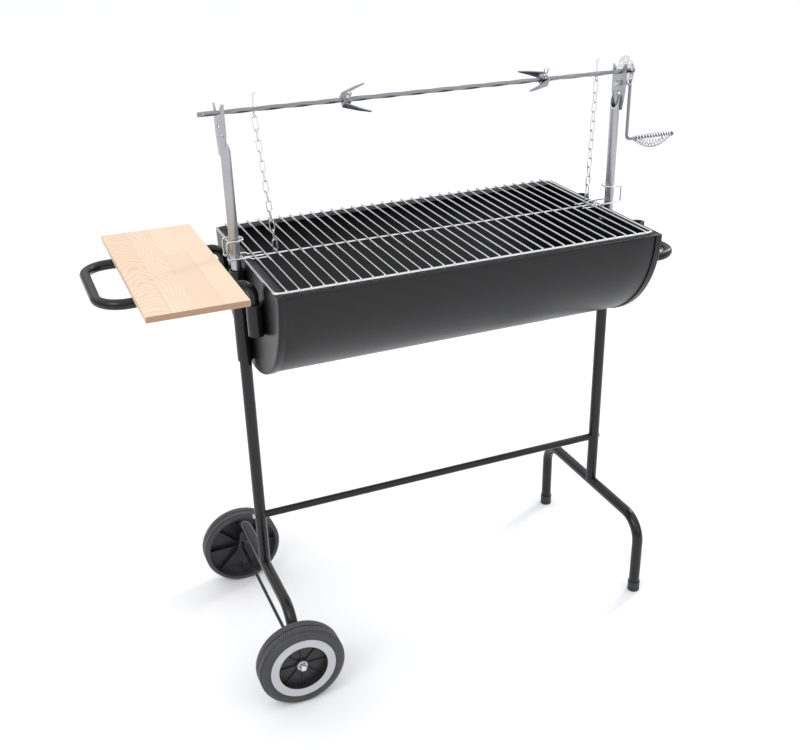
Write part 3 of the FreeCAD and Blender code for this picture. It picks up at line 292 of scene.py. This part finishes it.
# --- End plates ---------------------------------------------------------------------------
# Each end is a pressed D-shaped cap: a flat face, a lip that laps the shell and a flange
# folded in along the top. The same enamel; the face carries the sleeve and handle sockets.

face_fold, flange_gap, skin_gap, flange_drop, lip_share = 0.0025, 0.0018, 0.0001, 0.008, 0.15

for name, side in (("left", -1), ("right", 1)):
    low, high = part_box("end_plate_" + name)
    outside = low.x if side < 0 else high.x
    inside = high.x if side < 0 else low.x
    radius, rings = high.y, 10
    points = [(outside, 0, rim)]
    for ring in range(1, rings + 1):
        r = radius * ring / rings
        points += [(outside, -r * math.cos(math.pi * k / arc_steps),
                    rim - r * math.sin(math.pi * k / arc_steps)) for k in range(arc_steps + 1)]
    columns = arc_steps + 1
    faces = [(0, 1 + k, 2 + k) for k in range(arc_steps)]
    faces += [tuple(1 + i for i in quad) for quad in grid_faces(rings, columns)]
    start = len(points)
    points += [(inside + (outside - inside) * lip_share, y, z) for _, y, z in points[-columns:]]
    faces += [(start - columns + k, start - columns + k + 1, start + k + 1, start + k)
              for k in range(arc_steps)]
    cap = piece("end_cap_" + name, points, faces, trough_enamel)
    if side > 0:
        cap.data.flip_normals()
    pressed(cap, sheet, face_fold, -1)
    tuck, top = radius - flange - flange_gap, rim - skin_gap
    strip = [(x, y, z) for y in (-tuck, tuck)
             for x, z in ((outside - side * skin_gap, rim - flange_drop),
                          (outside - side * skin_gap, top), (inside, top))]
    fold = piece("end_flange_" + name, strip, [(0, 3, 4, 1), (1, 4, 5, 2)], trough_enamel)
    if side < 0:
        fold.data.flip_normals()
    pressed(fold, sheet * 0.9, shell_fold, -1)
    for made in (cap, fold):
        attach(made, "frame")
    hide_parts("end_plate_" + name)


# --- Tube frame ---------------------------------------------------------------------------
# Legs, sleeves, feet, brace, handles and their sockets are round steel tube in gloss black
# powder coat, with black moulded caps and bushes in the open ends.

tube_enamel = black_enamel("tube_enamel", 0.17, 0.006)


def black_moulding(place):
    grain = place.noise(900.0, 3.0)
    cloud = place.noise(14.0)
    return {"Base Color": cloud.mix((0.016, 0.016, 0.018, 1), (0.026, 0.026, 0.028, 1)),
            "Roughness": cloud * 0.12 + 0.38, "bump": (grain, 0.00005)}


moulded_black = material("moulded_black", black_moulding, IOR=1.47)


def dress(finish, *nodes):
    """A CAD node whose shape is right keeps it and takes a finish."""
    for node in nodes:
        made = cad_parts[node]
        made.data.materials.clear()
        made.data.materials.append(finish)


dress(tube_enamel, "sleeve_left", "sleeve_right", "leg_left", "leg_right", "foot_left", "foot_right",
      "brace", "handle_left", "handle_right", "sockets_left", "sockets_right", "tray_clips", "axle")
dress(moulded_black, "foot_caps", "brace_plugs", "bushes_left", "bushes_right")


# --- Bolts and screws ---------------------------------------------------------------------
# Zinc-plated steel: the sleeves' cap screws, the brace and tray screws, the axle's washers
# and the fixed peg that locks the index disc.

def zinc_plate(place):
    cloud = place.noise(160.0, 4.0, 0.65)
    stain = place.noise(40.0, 2.0)
    return {"Base Color": cloud.mix((0.50, 0.51, 0.53, 1), (0.68, 0.68, 0.66, 1)),
            "Roughness": stain * 0.2 + 0.24, "bump": (cloud, 0.00004)}


zinc = material("zinc_plate", zinc_plate, Metallic=1.0)
dress(zinc, "sleeve_bolts_left", "sleeve_bolts_right", "brace_screws", "tray_screws",
      "axle_washers", "latch_bolt")


# --- Posts --------------------------------------------------------------------------------
# Zinc-plated steel tube that slides into each leg. Above a slanted cut the outer wall is
# opened out into a creased blade, slotted for the spit rod and drilled for the latch peg.

def plated_tube(place):
    drawn = place.stretched(1, 1, 0.012).noise(900.0, 3.0)
    cloud = place.noise(18.0, 3.0)
    return {"Base Color": cloud.mix((0.40, 0.40, 0.415, 1), (0.52, 0.52, 0.535, 1)),
            "Roughness": drawn * 0.16 + cloud * 0.08 + 0.20, "bump": (drawn, 0.00003)}


dress(material("plated_tube", plated_tube, Metallic=1.0), "post_left", "post_right")


# --- Wheels -------------------------------------------------------------------------------
# Blow-moulded black tyres with two bands of fine cross teeth, on ribbed black hubs with a
# pale grey trim ring. They turn freely on the axle, held by plated nuts.

def tyre_moulding(place, shade=1.0):
    cloud = place.noise(22.0, 3.0)
    grain = place.noise(1300.0, 2.0)
    dark, light = 0.034 * shade, 0.056 * shade
    return {"Base Color": cloud.mix((dark, dark, dark * 1.06, 1), (light, light, light * 1.06, 1)),
            "Roughness": cloud * 0.15 + 0.45, "bump": (grain, 0.00006)}


# Painted highlight: the raised teeth take the tyre's own rubber painted 2.1 times lighter.
def tread_highlight_moulding(place):
    return tyre_moulding(place, 2.1)


def ring_moulding(place):
    cloud = place.noise(30.0, 3.0)
    grain = place.noise(1100.0, 2.0)
    return {"Base Color": cloud.mix((0.46, 0.465, 0.49, 1), (0.52, 0.525, 0.55, 1)),
            "Roughness": cloud * 0.1 + 0.42, "bump": (grain, 0.00004)}


tyre_black = material("tyre_black", tyre_moulding, IOR=1.48)
tread_black = material("tread_black", tread_highlight_moulding, IOR=1.48)
ring_grey = material("ring_grey", ring_moulding)


def bright_plate(place):
    cloud = place.noise(60.0, 4.0, 0.6)
    grain = place.noise(700.0, 2.0)
    return {"Base Color": cloud.mix((0.66, 0.66, 0.675, 1), (0.78, 0.78, 0.79, 1)),
            "Roughness": cloud * 0.12 + 0.07, "bump": (grain, 0.00002)}


chrome = material("bright_chrome", bright_plate, Metallic=1.0)


def geometry_tree(name, sizes, finish, build):
    """A node group with the sizes as named inputs, ending in plain geometry with its finish."""
    tree = bpy.data.node_groups.new(name, "GeometryNodeTree")
    tree.interface.new_socket("Geometry", in_out="OUTPUT", socket_type="NodeSocketGeometry")
    for size_name, value in sizes.items():
        kind = "NodeSocketInt" if isinstance(value, int) else "NodeSocketFloat"
        tree.interface.new_socket(size_name, in_out="INPUT", socket_type=kind)
    given = tree.nodes.new("NodeGroupInput")
    shape = build(Socket(tree), {key: Socket(tree, given.outputs[key]) for key in sizes})
    shape = shape.node("GeometryNodeRealizeInstances", {0: shape})
    shape = shape.node("GeometryNodeSetShadeSmooth", {0: shape})
    shape = shape.node("GeometryNodeSetMaterial", {0: shape, "Material": finish})
    tree.links.new(shape.link, tree.nodes.new("NodeGroupOutput").inputs[0])
    return tree


def grown(name, tree, sizes, smooth=35):
    """The plain mesh that a geometry tree makes from these sizes."""
    host = bpy.data.objects.new(name, bpy.data.meshes.new(name))
    bpy.context.scene.collection.objects.link(host)
    maker = host.modifiers.new("maker", "NODES")
    maker.node_group = tree
    for item in tree.interface.items_tree:
        if item.in_out == "INPUT":
            maker[item.identifier] = sizes[item.name]
    bpy.context.view_layer.update()
    settle(host)
    host.data.set_sharp_from_angle(angle=math.radians(smooth))
    return host


def round_wire(any_socket, path, thickness, sides=10):
    """A round wire along a curve."""
    ring = any_socket.node("GeometryNodeCurvePrimitiveCircle", {
        "Resolution": sides, "Radius": thickness / 2})
    return any_socket.node("GeometryNodeCurveToMesh", {
        "Curve": path, "Profile Curve": ring, "Fill Caps": True})


def vector(any_socket, x=0.0, y=0.0, z=0.0):
    return any_socket.node("ShaderNodeCombineXYZ", {0: x, 1: y, 2: z})


teeth_round = 126


def tooth_ring(start, size):
    """Small slanted blocks round the tread, in two bands that lean opposite ways."""
    block = start.node("GeometryNodeMeshCube", {
        "Size": vector(start, size["Tooth width"], size["Band width"], size["Tooth height"])})
    bands = []
    for band, shift in ((-0.5, 0.0), (0.5, 0.5)):
        row = start.node("GeometryNodeMeshLine", {
            "Count": size["Teeth"], "Offset": (0.0, 0.0, 0.0)}, mode="OFFSET")
        place = vector(start, 0.0, size["Band spacing"] * band, size["Radius"])
        raised = start.node("GeometryNodeTransform", {
            "Geometry": block, "Translation": place,
            "Rotation": vector(start, 0.0, 0.0, size["Slant"] * 2 * band)})
        step = 2 * math.pi / teeth_round
        turn = (start.node("GeometryNodeInputIndex") + shift) * step
        bands.append(start.node("GeometryNodeInstanceOnPoints", {
            "Points": row, "Instance": raised, "Rotation": vector(start, 0.0, turn, 0.0)}))
    joined = start.tree.nodes.new("GeometryNodeJoinGeometry")
    for band in bands:
        start.tree.links.new(band.link, joined.inputs[0])
    place = vector(start, size["Wheel x"], size["Wheel y"], size["Wheel z"])
    return start.node("GeometryNodeTransform", {"Geometry": Socket(start.tree, joined.outputs[0]),
                                                "Translation": place})


tooth_sizes = {"Teeth": teeth_round, "Tooth width": 0.0021, "Band width": 0.0120,
               "Tooth height": 0.0032, "Band spacing": 0.0140, "Radius": 0.0732, "Slant": 0.35,
               "Wheel x": 0.0, "Wheel y": 0.0, "Wheel z": 0.0}
tooth_tree = geometry_tree("tyre teeth", tooth_sizes, tread_black, tooth_ring)

tyre_bore, tyre_hollow, web_drop, groove_depth = 0.057, 0.066, 0.016, 0.0022
turns = 96


def tyre_section(outer, half):
    """Radius and depth round the tyre's wall, from the web at the back to the outer face."""
    ease, lip, shoulder, seam_half, seam_floor, seam_depth = 0.0006, 0.0008, 0.0014, 0.0012, 0.0007, 0.0014
    step, step_out, step_in = 0.0009, 0.0046, 0.0030
    web, groove = half - web_drop, outer - groove_depth
    back = [(tyre_bore, web), (tyre_hollow - ease, web), (tyre_hollow, web - ease),
            (tyre_hollow, -half + lip), (tyre_hollow + lip, -half), (outer - 0.0042, -half),
            (outer - 0.0024, -half + shoulder)]
    tread = [(groove, -half + 0.0036), (groove, -seam_half), (groove - seam_depth, -seam_floor),
             (groove - seam_depth, seam_floor), (groove, seam_half), (groove, half - 0.0060)]
    face = [(outer - 0.0026, half - 0.0040), (outer - 0.0050, half - shoulder), (outer - 0.0090, half),
            (tyre_bore + step_out, half), (tyre_bore + step_in, half - step), (tyre_bore, half - step)]
    return back + tread + face


for name, side in (("front", -1), ("rear", 1)):
    low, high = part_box("tyre_" + name)
    middle = (low + high) / 2
    outer = (high.z - low.z) / 2
    half = (high.y - low.y) / 2
    profile = tyre_section(outer, half)
    if side < 0:
        profile = [(r, -d) for r, d in reversed(profile)]
    points = [(middle.x + r * math.cos(2 * math.pi * k / turns), middle.y + d,
               middle.z + r * math.sin(2 * math.pi * k / turns)) for k in range(turns) for r, d in profile]
    n = len(profile)
    faces = [(k * n + j, k * n + (j + 1) % n, (k + 1) % turns * n + (j + 1) % n, (k + 1) % turns * n + j)
             for k in range(turns) for j in range(n)]
    tyre = piece("tyre_body_" + name, points, faces, tyre_black, 28)
    teeth = grown("tyre_teeth_" + name, tooth_tree, dict(tooth_sizes, **{
        "Wheel x": middle.x, "Wheel y": middle.y, "Wheel z": middle.z}))
    for made in (tyre, teeth):
        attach(made, name + "_wheel")
    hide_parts("tyre_" + name)
    dress(ring_grey, "hub_ring_" + name)
    dress(moulded_black, "hub_" + name)
dress(chrome, "axle_nuts")


# --- Side tray ----------------------------------------------------------------------------
# A glued pine board of four staves that run front to back, each made of finger-jointed
# lengths. It lies on the left handle, held from below by saddle clips.

tray_low, tray_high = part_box("tray_board")
staves = 4
stave = (tray_high.x - tray_low.x) / staves
finger, block_length, glue_line = 0.0019, 0.29, 0.00025
flat_ring, half_ring, quarter_ring, end_ring = 0.0088, 0.0050, 0.0031, 0.0016


def pine(place):
    x, y, z = place.part(0) - tray_low.x, place.part(1), place.part(2)
    run = x / stave
    number = run.sum("FLOOR", run)
    tooth = x.sum("PINGPONG", x, finger) * 4.0
    length = (y + tooth + number.sum("SINE", number * 2.6) * 0.10 + 0.33) / block_length
    block = length.sum("FLOOR", length)
    identity = number * 1.7 + block * 5.3
    chance = place.node("ShaderNodeTexWhiteNoise", {"W": identity}, noise_dimensions="1D")
    across = run.sum("FRACT", run) * stave
    sway = vector(place, x * 0.5, y * 0.22, number * 0.3).noise(26.0, 1.0, 0.4) - 0.5
    ripple = vector(place, x, y * 0.8, number).noise(38.0, 1.0, 0.4) - 0.5
    flat_sawn = (y * 0.55 - across * 0.9 + across * across * 26.0 + sway * 0.05
                 + ripple * 0.016) / flat_ring
    half_sawn = (across * 0.75 + y * 0.07 + sway * 0.050 + ripple * 0.005) / half_ring
    quarter_sawn = (across + y * 0.012 + sway * 0.012 + chance * 0.01) / quarter_ring
    first = number.sum("LESS_THAN", number, 0.5)
    second = number.sum("LESS_THAN", number, 1.5) - first
    rings = first * flat_sawn + second * half_sawn + (1 - first - second) * quarter_sawn
    late = rings.sum("FRACT", rings)
    late = late.sum("POWER", late, 2.2) * late.sum("LESS_THAN", late, 0.95)
    strength = first * 0.62 + second * 0.55 + (1 - first - second) * 0.50
    fibre = vector(place, x, y * 0.03, z).noise(1500.0, 3.0, 0.6)
    pale = chance.mix((0.80, 0.60, 0.43, 1), (0.87, 0.68, 0.50, 1))
    dark = chance.mix((0.60, 0.37, 0.22, 1), (0.56, 0.33, 0.20, 1))
    grain = (late * strength + (fibre - 0.5) * 0.22).mix(pale, dark)
    off_heart = across - stave * chance
    arcs = (off_heart * off_heart * 30.0 + z + chance * 0.02) / end_ring
    arcs = arcs.sum("PINGPONG", arcs, 1.0)
    end = place.node("ShaderNodeTexCoord", out=1).part(1)
    end = end.sum("POWER", abs(end), 4.0)
    sawn = (arcs * 0.7 + (fibre - 0.5) * 0.5).mix((0.46, 0.29, 0.19, 1), (0.24, 0.13, 0.075, 1))
    colour = end.mix(grain, sawn)
    joint = abs(run.sum("FRACT", run + 0.5) - 0.5) * stave
    glue = joint.sum("LESS_THAN", joint, glue_line)
    return {"Base Color": (glue * 0.30).mix(colour, (0.45, 0.27, 0.15, 1)),
            "Roughness": late * -0.08 + fibre * 0.15 + 0.42,
            "bump": (late * 0.4 + fibre * 0.6 - glue, 0.00010)}


dress(material("pine_board", pine, Coat_Weight=0.10, Coat_Roughness=0.35), "tray_board")


# --- Cooking grid -------------------------------------------------------------------------
# Chrome wire: a heavier rim with rounded corners, thinner cross wires spot-welded on top of
# it and one long wire under their middle. A bent wire at each end is guided by the post.

dress(chrome, "grid_rim", "grid_centre_wire", "guide_left", "guide_right",
      "snap_hook_left", "snap_hook_right", "index_disc")
low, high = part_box("grid_cross_wires")
wire = high.z - low.z
bars = 33


def cross_bars(start, size):
    """Straight wires side by side, with a small pressed weld where each end meets the rim."""
    path = start.node("GeometryNodeCurvePrimitiveLine", {
        "Start": vector(start, 0.0, size["Depth"] * -0.5, 0.0),
        "End": vector(start, 0.0, size["Depth"] * 0.5, 0.0)})
    bar = round_wire(start, path, wire)
    joined = start.tree.nodes.new("GeometryNodeJoinGeometry")
    start.tree.links.new(bar.link, joined.inputs[0])
    for end in (-0.5, 0.5):
        blob = start.node("GeometryNodeMeshIcoSphere", {"Radius": size["Weld"], "Subdivisions": 2})
        place = vector(start, 0.0, (size["Depth"] - size["Weld"] * 1.6) * end, size["Weld"] * -0.55)
        blob = start.node("GeometryNodeTransform", {
            "Geometry": blob, "Translation": place, "Scale": (1.0, 1.15, 0.6)})
        start.tree.links.new(blob.link, joined.inputs[0])
    row = start.node("GeometryNodeMeshLine", {
        "Count": size["Bars"], "Start Location": vector(start, size["First x"], 0.0, size["Level"]),
        "Offset": vector(start, size["Pitch"], 0.0, 0.0)}, mode="OFFSET")
    return start.node("GeometryNodeInstanceOnPoints", {
        "Points": row, "Instance": Socket(start.tree, joined.outputs[0])})


bar_sizes = {"Bars": bars, "First x": low.x + wire / 2, "Pitch": (high.x - low.x - wire) / (bars - 1),
             "Depth": high.y - low.y, "Level": (low.z + high.z) / 2, "Weld": 0.0022}
cross = grown("cross_bars", geometry_tree("cross bars", bar_sizes, chrome, cross_bars), bar_sizes)
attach(cross, "grid")
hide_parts("grid_cross_wires")


# --- Chains -------------------------------------------------------------------------------
# Welded steel link chain, each link a quarter turn from the last, the top one longer. It
# winds onto the spit rod as the grid is lifted, which shortens what hangs.

links = 12
link_wire, link_width, link_gap, top_extra = 0.002, 0.0094, 0.0003, 0.004


def link_row(start, size):
    """Links down from the origin, then leaned and moved to where the chain hangs."""
    loop = start.node("GeometryNodeCurvePrimitiveQuadrilateral", {
        "Width": size["Width"], "Height": size["Height"]}, mode="RECTANGLE")
    loop = start.node("GeometryNodeFilletCurve", {
        "Curve": loop, "Count": 6, "Radius": size["Width"] * 0.499, "Limit Radius": True}, mode="POLY")
    link = round_wire(start, loop, link_wire, 8)
    link = start.node("GeometryNodeTransform", {"Geometry": link, "Rotation": (math.pi / 2, 0.0, 0.0)})
    index = start.node("GeometryNodeInputIndex")
    first = index.sum("LESS_THAN", index, 0.5)
    stretch = 1 + first * size["Extra"] / size["Height"]
    drop = (index * size["Step"] + size["Height"] * 0.5 + (1 - first) * size["Extra"]
            + first * size["Extra"] * 0.5)
    row = start.node("GeometryNodeMeshLine", {
        "Count": size["Links"], "Offset": (0.0, 0.0, 0.0)}, mode="OFFSET")
    row = start.node("GeometryNodeSetPosition", {
        "Geometry": row, "Position": vector(start, 0.0, 0.0, drop * -1)})
    turn = index.sum("MODULO", index, 2.0) * (math.pi / 2)
    row = start.node("GeometryNodeInstanceOnPoints", {
        "Points": row, "Instance": link, "Rotation": vector(start, 0.0, 0.0, turn),
        "Scale": vector(start, 1.0, 1.0, stretch)})
    return start.node("GeometryNodeTransform", {
        "Geometry": row, "Rotation": vector(start, size["Lean y"], size["Lean x"], 0.0),
        "Translation": vector(start, size["Top x"], 0.0, size["Top z"])})


chain_tree = None
for name in ("left", "right"):
    low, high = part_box("chain_" + name)
    pin_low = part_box("chain_pin_" + name)[0]
    hook_low, hook_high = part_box("snap_hook_" + name)
    top = Vector((pin_low.x + 0.001, 0, high.z - link_wire / 2))
    bottom = Vector(((hook_low.x + hook_high.x) / 2 - 0.0003, (hook_low.y + hook_high.y) / 2,
                     hook_high.z - 0.002 - link_gap - link_wire / 2))
    down = bottom - top
    lap = link_wire + link_gap
    tall = (down.length - top_extra + (links - 1) * lap) / links
    chain_sizes = {"Links": links, "Width": link_width - link_wire, "Height": tall, "Step": tall - lap,
                   "Extra": top_extra, "Top x": top.x, "Top z": top.z,
                   "Lean x": math.atan2(-down.x, -down.z), "Lean y": math.atan2(down.y, -down.z)}
    chain_tree = chain_tree or geometry_tree("chain links", chain_sizes, chrome, link_row)
    chain = grown("chain_links_" + name, chain_tree, chain_sizes, 60)
    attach(chain, "frame")
    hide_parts("chain_" + name)
    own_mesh(chain)
dress(chrome, "chain_pin_left", "chain_pin_right")


# --- Spit rod, crank and disc -------------------------------------------------------------
# A square steel bar twisted along its length. The crank is a bent round bar welded to a
# hub on its end; the plated disc beside the post has nine holes that drop over the peg.

def drawn_steel(place):
    cloud = place.noise(45.0, 4.0, 0.6)
    drawn = place.stretched(0.02, 1, 1).noise(1600.0, 2.0)
    return {"Base Color": cloud.mix((0.22, 0.22, 0.235, 1), (0.34, 0.34, 0.355, 1)),
            "Roughness": drawn * 0.12 + cloud * 0.12 + 0.22, "bump": (drawn, 0.00003)}


steel = material("drawn_steel", drawn_steel, Metallic=1.0)
low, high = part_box("spit_rod")


def twisted_bar(start, size):
    """A square bar of even twist with slightly rounded corners."""
    path = start.node("GeometryNodeCurvePrimitiveLine", {
        "Start": vector(start, size["Left"], 0.0, size["Level"]),
        "End": vector(start, size["Right"], 0.0, size["Level"])})
    path = start.node("GeometryNodeResampleCurve", {"Curve": path, "Count": size["Steps"]}, mode="COUNT")
    along = start.node("GeometryNodeSplineParameter", out=1)
    path = start.node("GeometryNodeSetCurveTilt", {
        "Curve": path, "Tilt": along * (2 * math.pi) / size["Twist pitch"]})
    square = start.node("GeometryNodeCurvePrimitiveQuadrilateral", {
        "Width": size["Side"], "Height": size["Side"]}, mode="RECTANGLE")
    square = start.node("GeometryNodeFilletCurve", {
        "Curve": square, "Count": 2, "Radius": size["Side"] * 0.18, "Limit Radius": True}, mode="POLY")
    return start.node("GeometryNodeCurveToMesh", {
        "Curve": path, "Profile Curve": square, "Fill Caps": True})


rod_sizes = {"Left": low.x, "Right": high.x, "Level": (low.z + high.z) / 2, "Side": high.z - low.z,
             "Steps": 240, "Twist pitch": 0.19}
rod_edge = 50
rod = grown("twisted_rod", geometry_tree("twisted bar", rod_sizes, steel, twisted_bar), rod_sizes, rod_edge)
tip_setback, tip_radius, sides, drill_reach = 0.009, 0.0015, 16, 0.01
tip_x = low.x + tip_setback
ring = [(tip_x + tip_radius * math.cos(2 * math.pi * k / sides),
         tip_radius * math.sin(2 * math.pi * k / sides)) for k in range(sides)]
drill = piece("tip_drill", [(x, y, rod_sizes["Level"] + z) for y in (-drill_reach, drill_reach)
                             for x, z in ring],
              [tuple(range(sides)), tuple(range(sides, 2 * sides))[::-1]]
              + [(k, sides + k, sides + (k + 1) % sides, (k + 1) % sides) for k in range(sides)], steel)
bored = rod.modifiers.new("bored", "BOOLEAN")
bored.object, bored.operation, bored.solver = drill, "DIFFERENCE", "EXACT"
bpy.context.view_layer.update()
settle(rod)
rod.data.set_sharp_from_angle(angle=math.radians(rod_edge))
bpy.data.objects.remove(drill)
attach(rod, "spit")
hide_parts("spit_rod")
dress(steel, "crank")


# --- Crank grip ---------------------------------------------------------------------------
# Bright spring wire wound into a loose barrel. It hangs on the spindle by the tops of its
# turns and spins in the hand.

low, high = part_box("crank_grip")


def barrel_coil(start, size):
    """A coil whose turns widen towards the middle and all hang from the same level."""
    path = start.node("GeometryNodeCurvePrimitiveLine", {"Start": (0.0, 0.0, 0.0), "End": (0.0, 0.0, 1.0)})
    path = start.node("GeometryNodeResampleCurve", {"Curve": path, "Count": size["Steps"]}, mode="COUNT")
    along = start.node("GeometryNodeSplineParameter", out=0)
    angle = along * size["Turns"] * (2 * math.pi)
    swell = along.sum("SINE", along * math.pi)
    radius = size["End radius"] + swell * (size["Middle radius"] - size["End radius"])
    place = vector(start, size["Left"] + along * size["Length"], radius * angle.sum("SINE", angle),
                   size["Top"] - radius + radius * angle.sum("COSINE", angle))
    path = start.node("GeometryNodeSetPosition", {"Geometry": path, "Position": place})
    return round_wire(start, path, grip_wire, 8)


grip_wire = 0.0021
coil_sizes = {"Steps": 460, "Turns": 13.5, "Left": low.x + grip_wire / 2,
              "Length": high.x - low.x - grip_wire, "Top": high.z - grip_wire / 2,
              "End radius": 0.0040, "Middle radius": (high.z - low.z - grip_wire) / 2}
coil = grown("grip_coil", geometry_tree("barrel coil", coil_sizes, chrome, barrel_coil), coil_sizes, 60)
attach(coil, "grip")
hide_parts("crank_grip")


# --- Forks --------------------------------------------------------------------------------
# Each fork is a folded steel strip with two bent, pointed prongs, clamped where it is
# wanted on the rod by a thumb screw with a wire eye.

dress(steel, "fork_left", "fork_right")
dress(chrome, "thumb_screw_left", "thumb_screw_right")
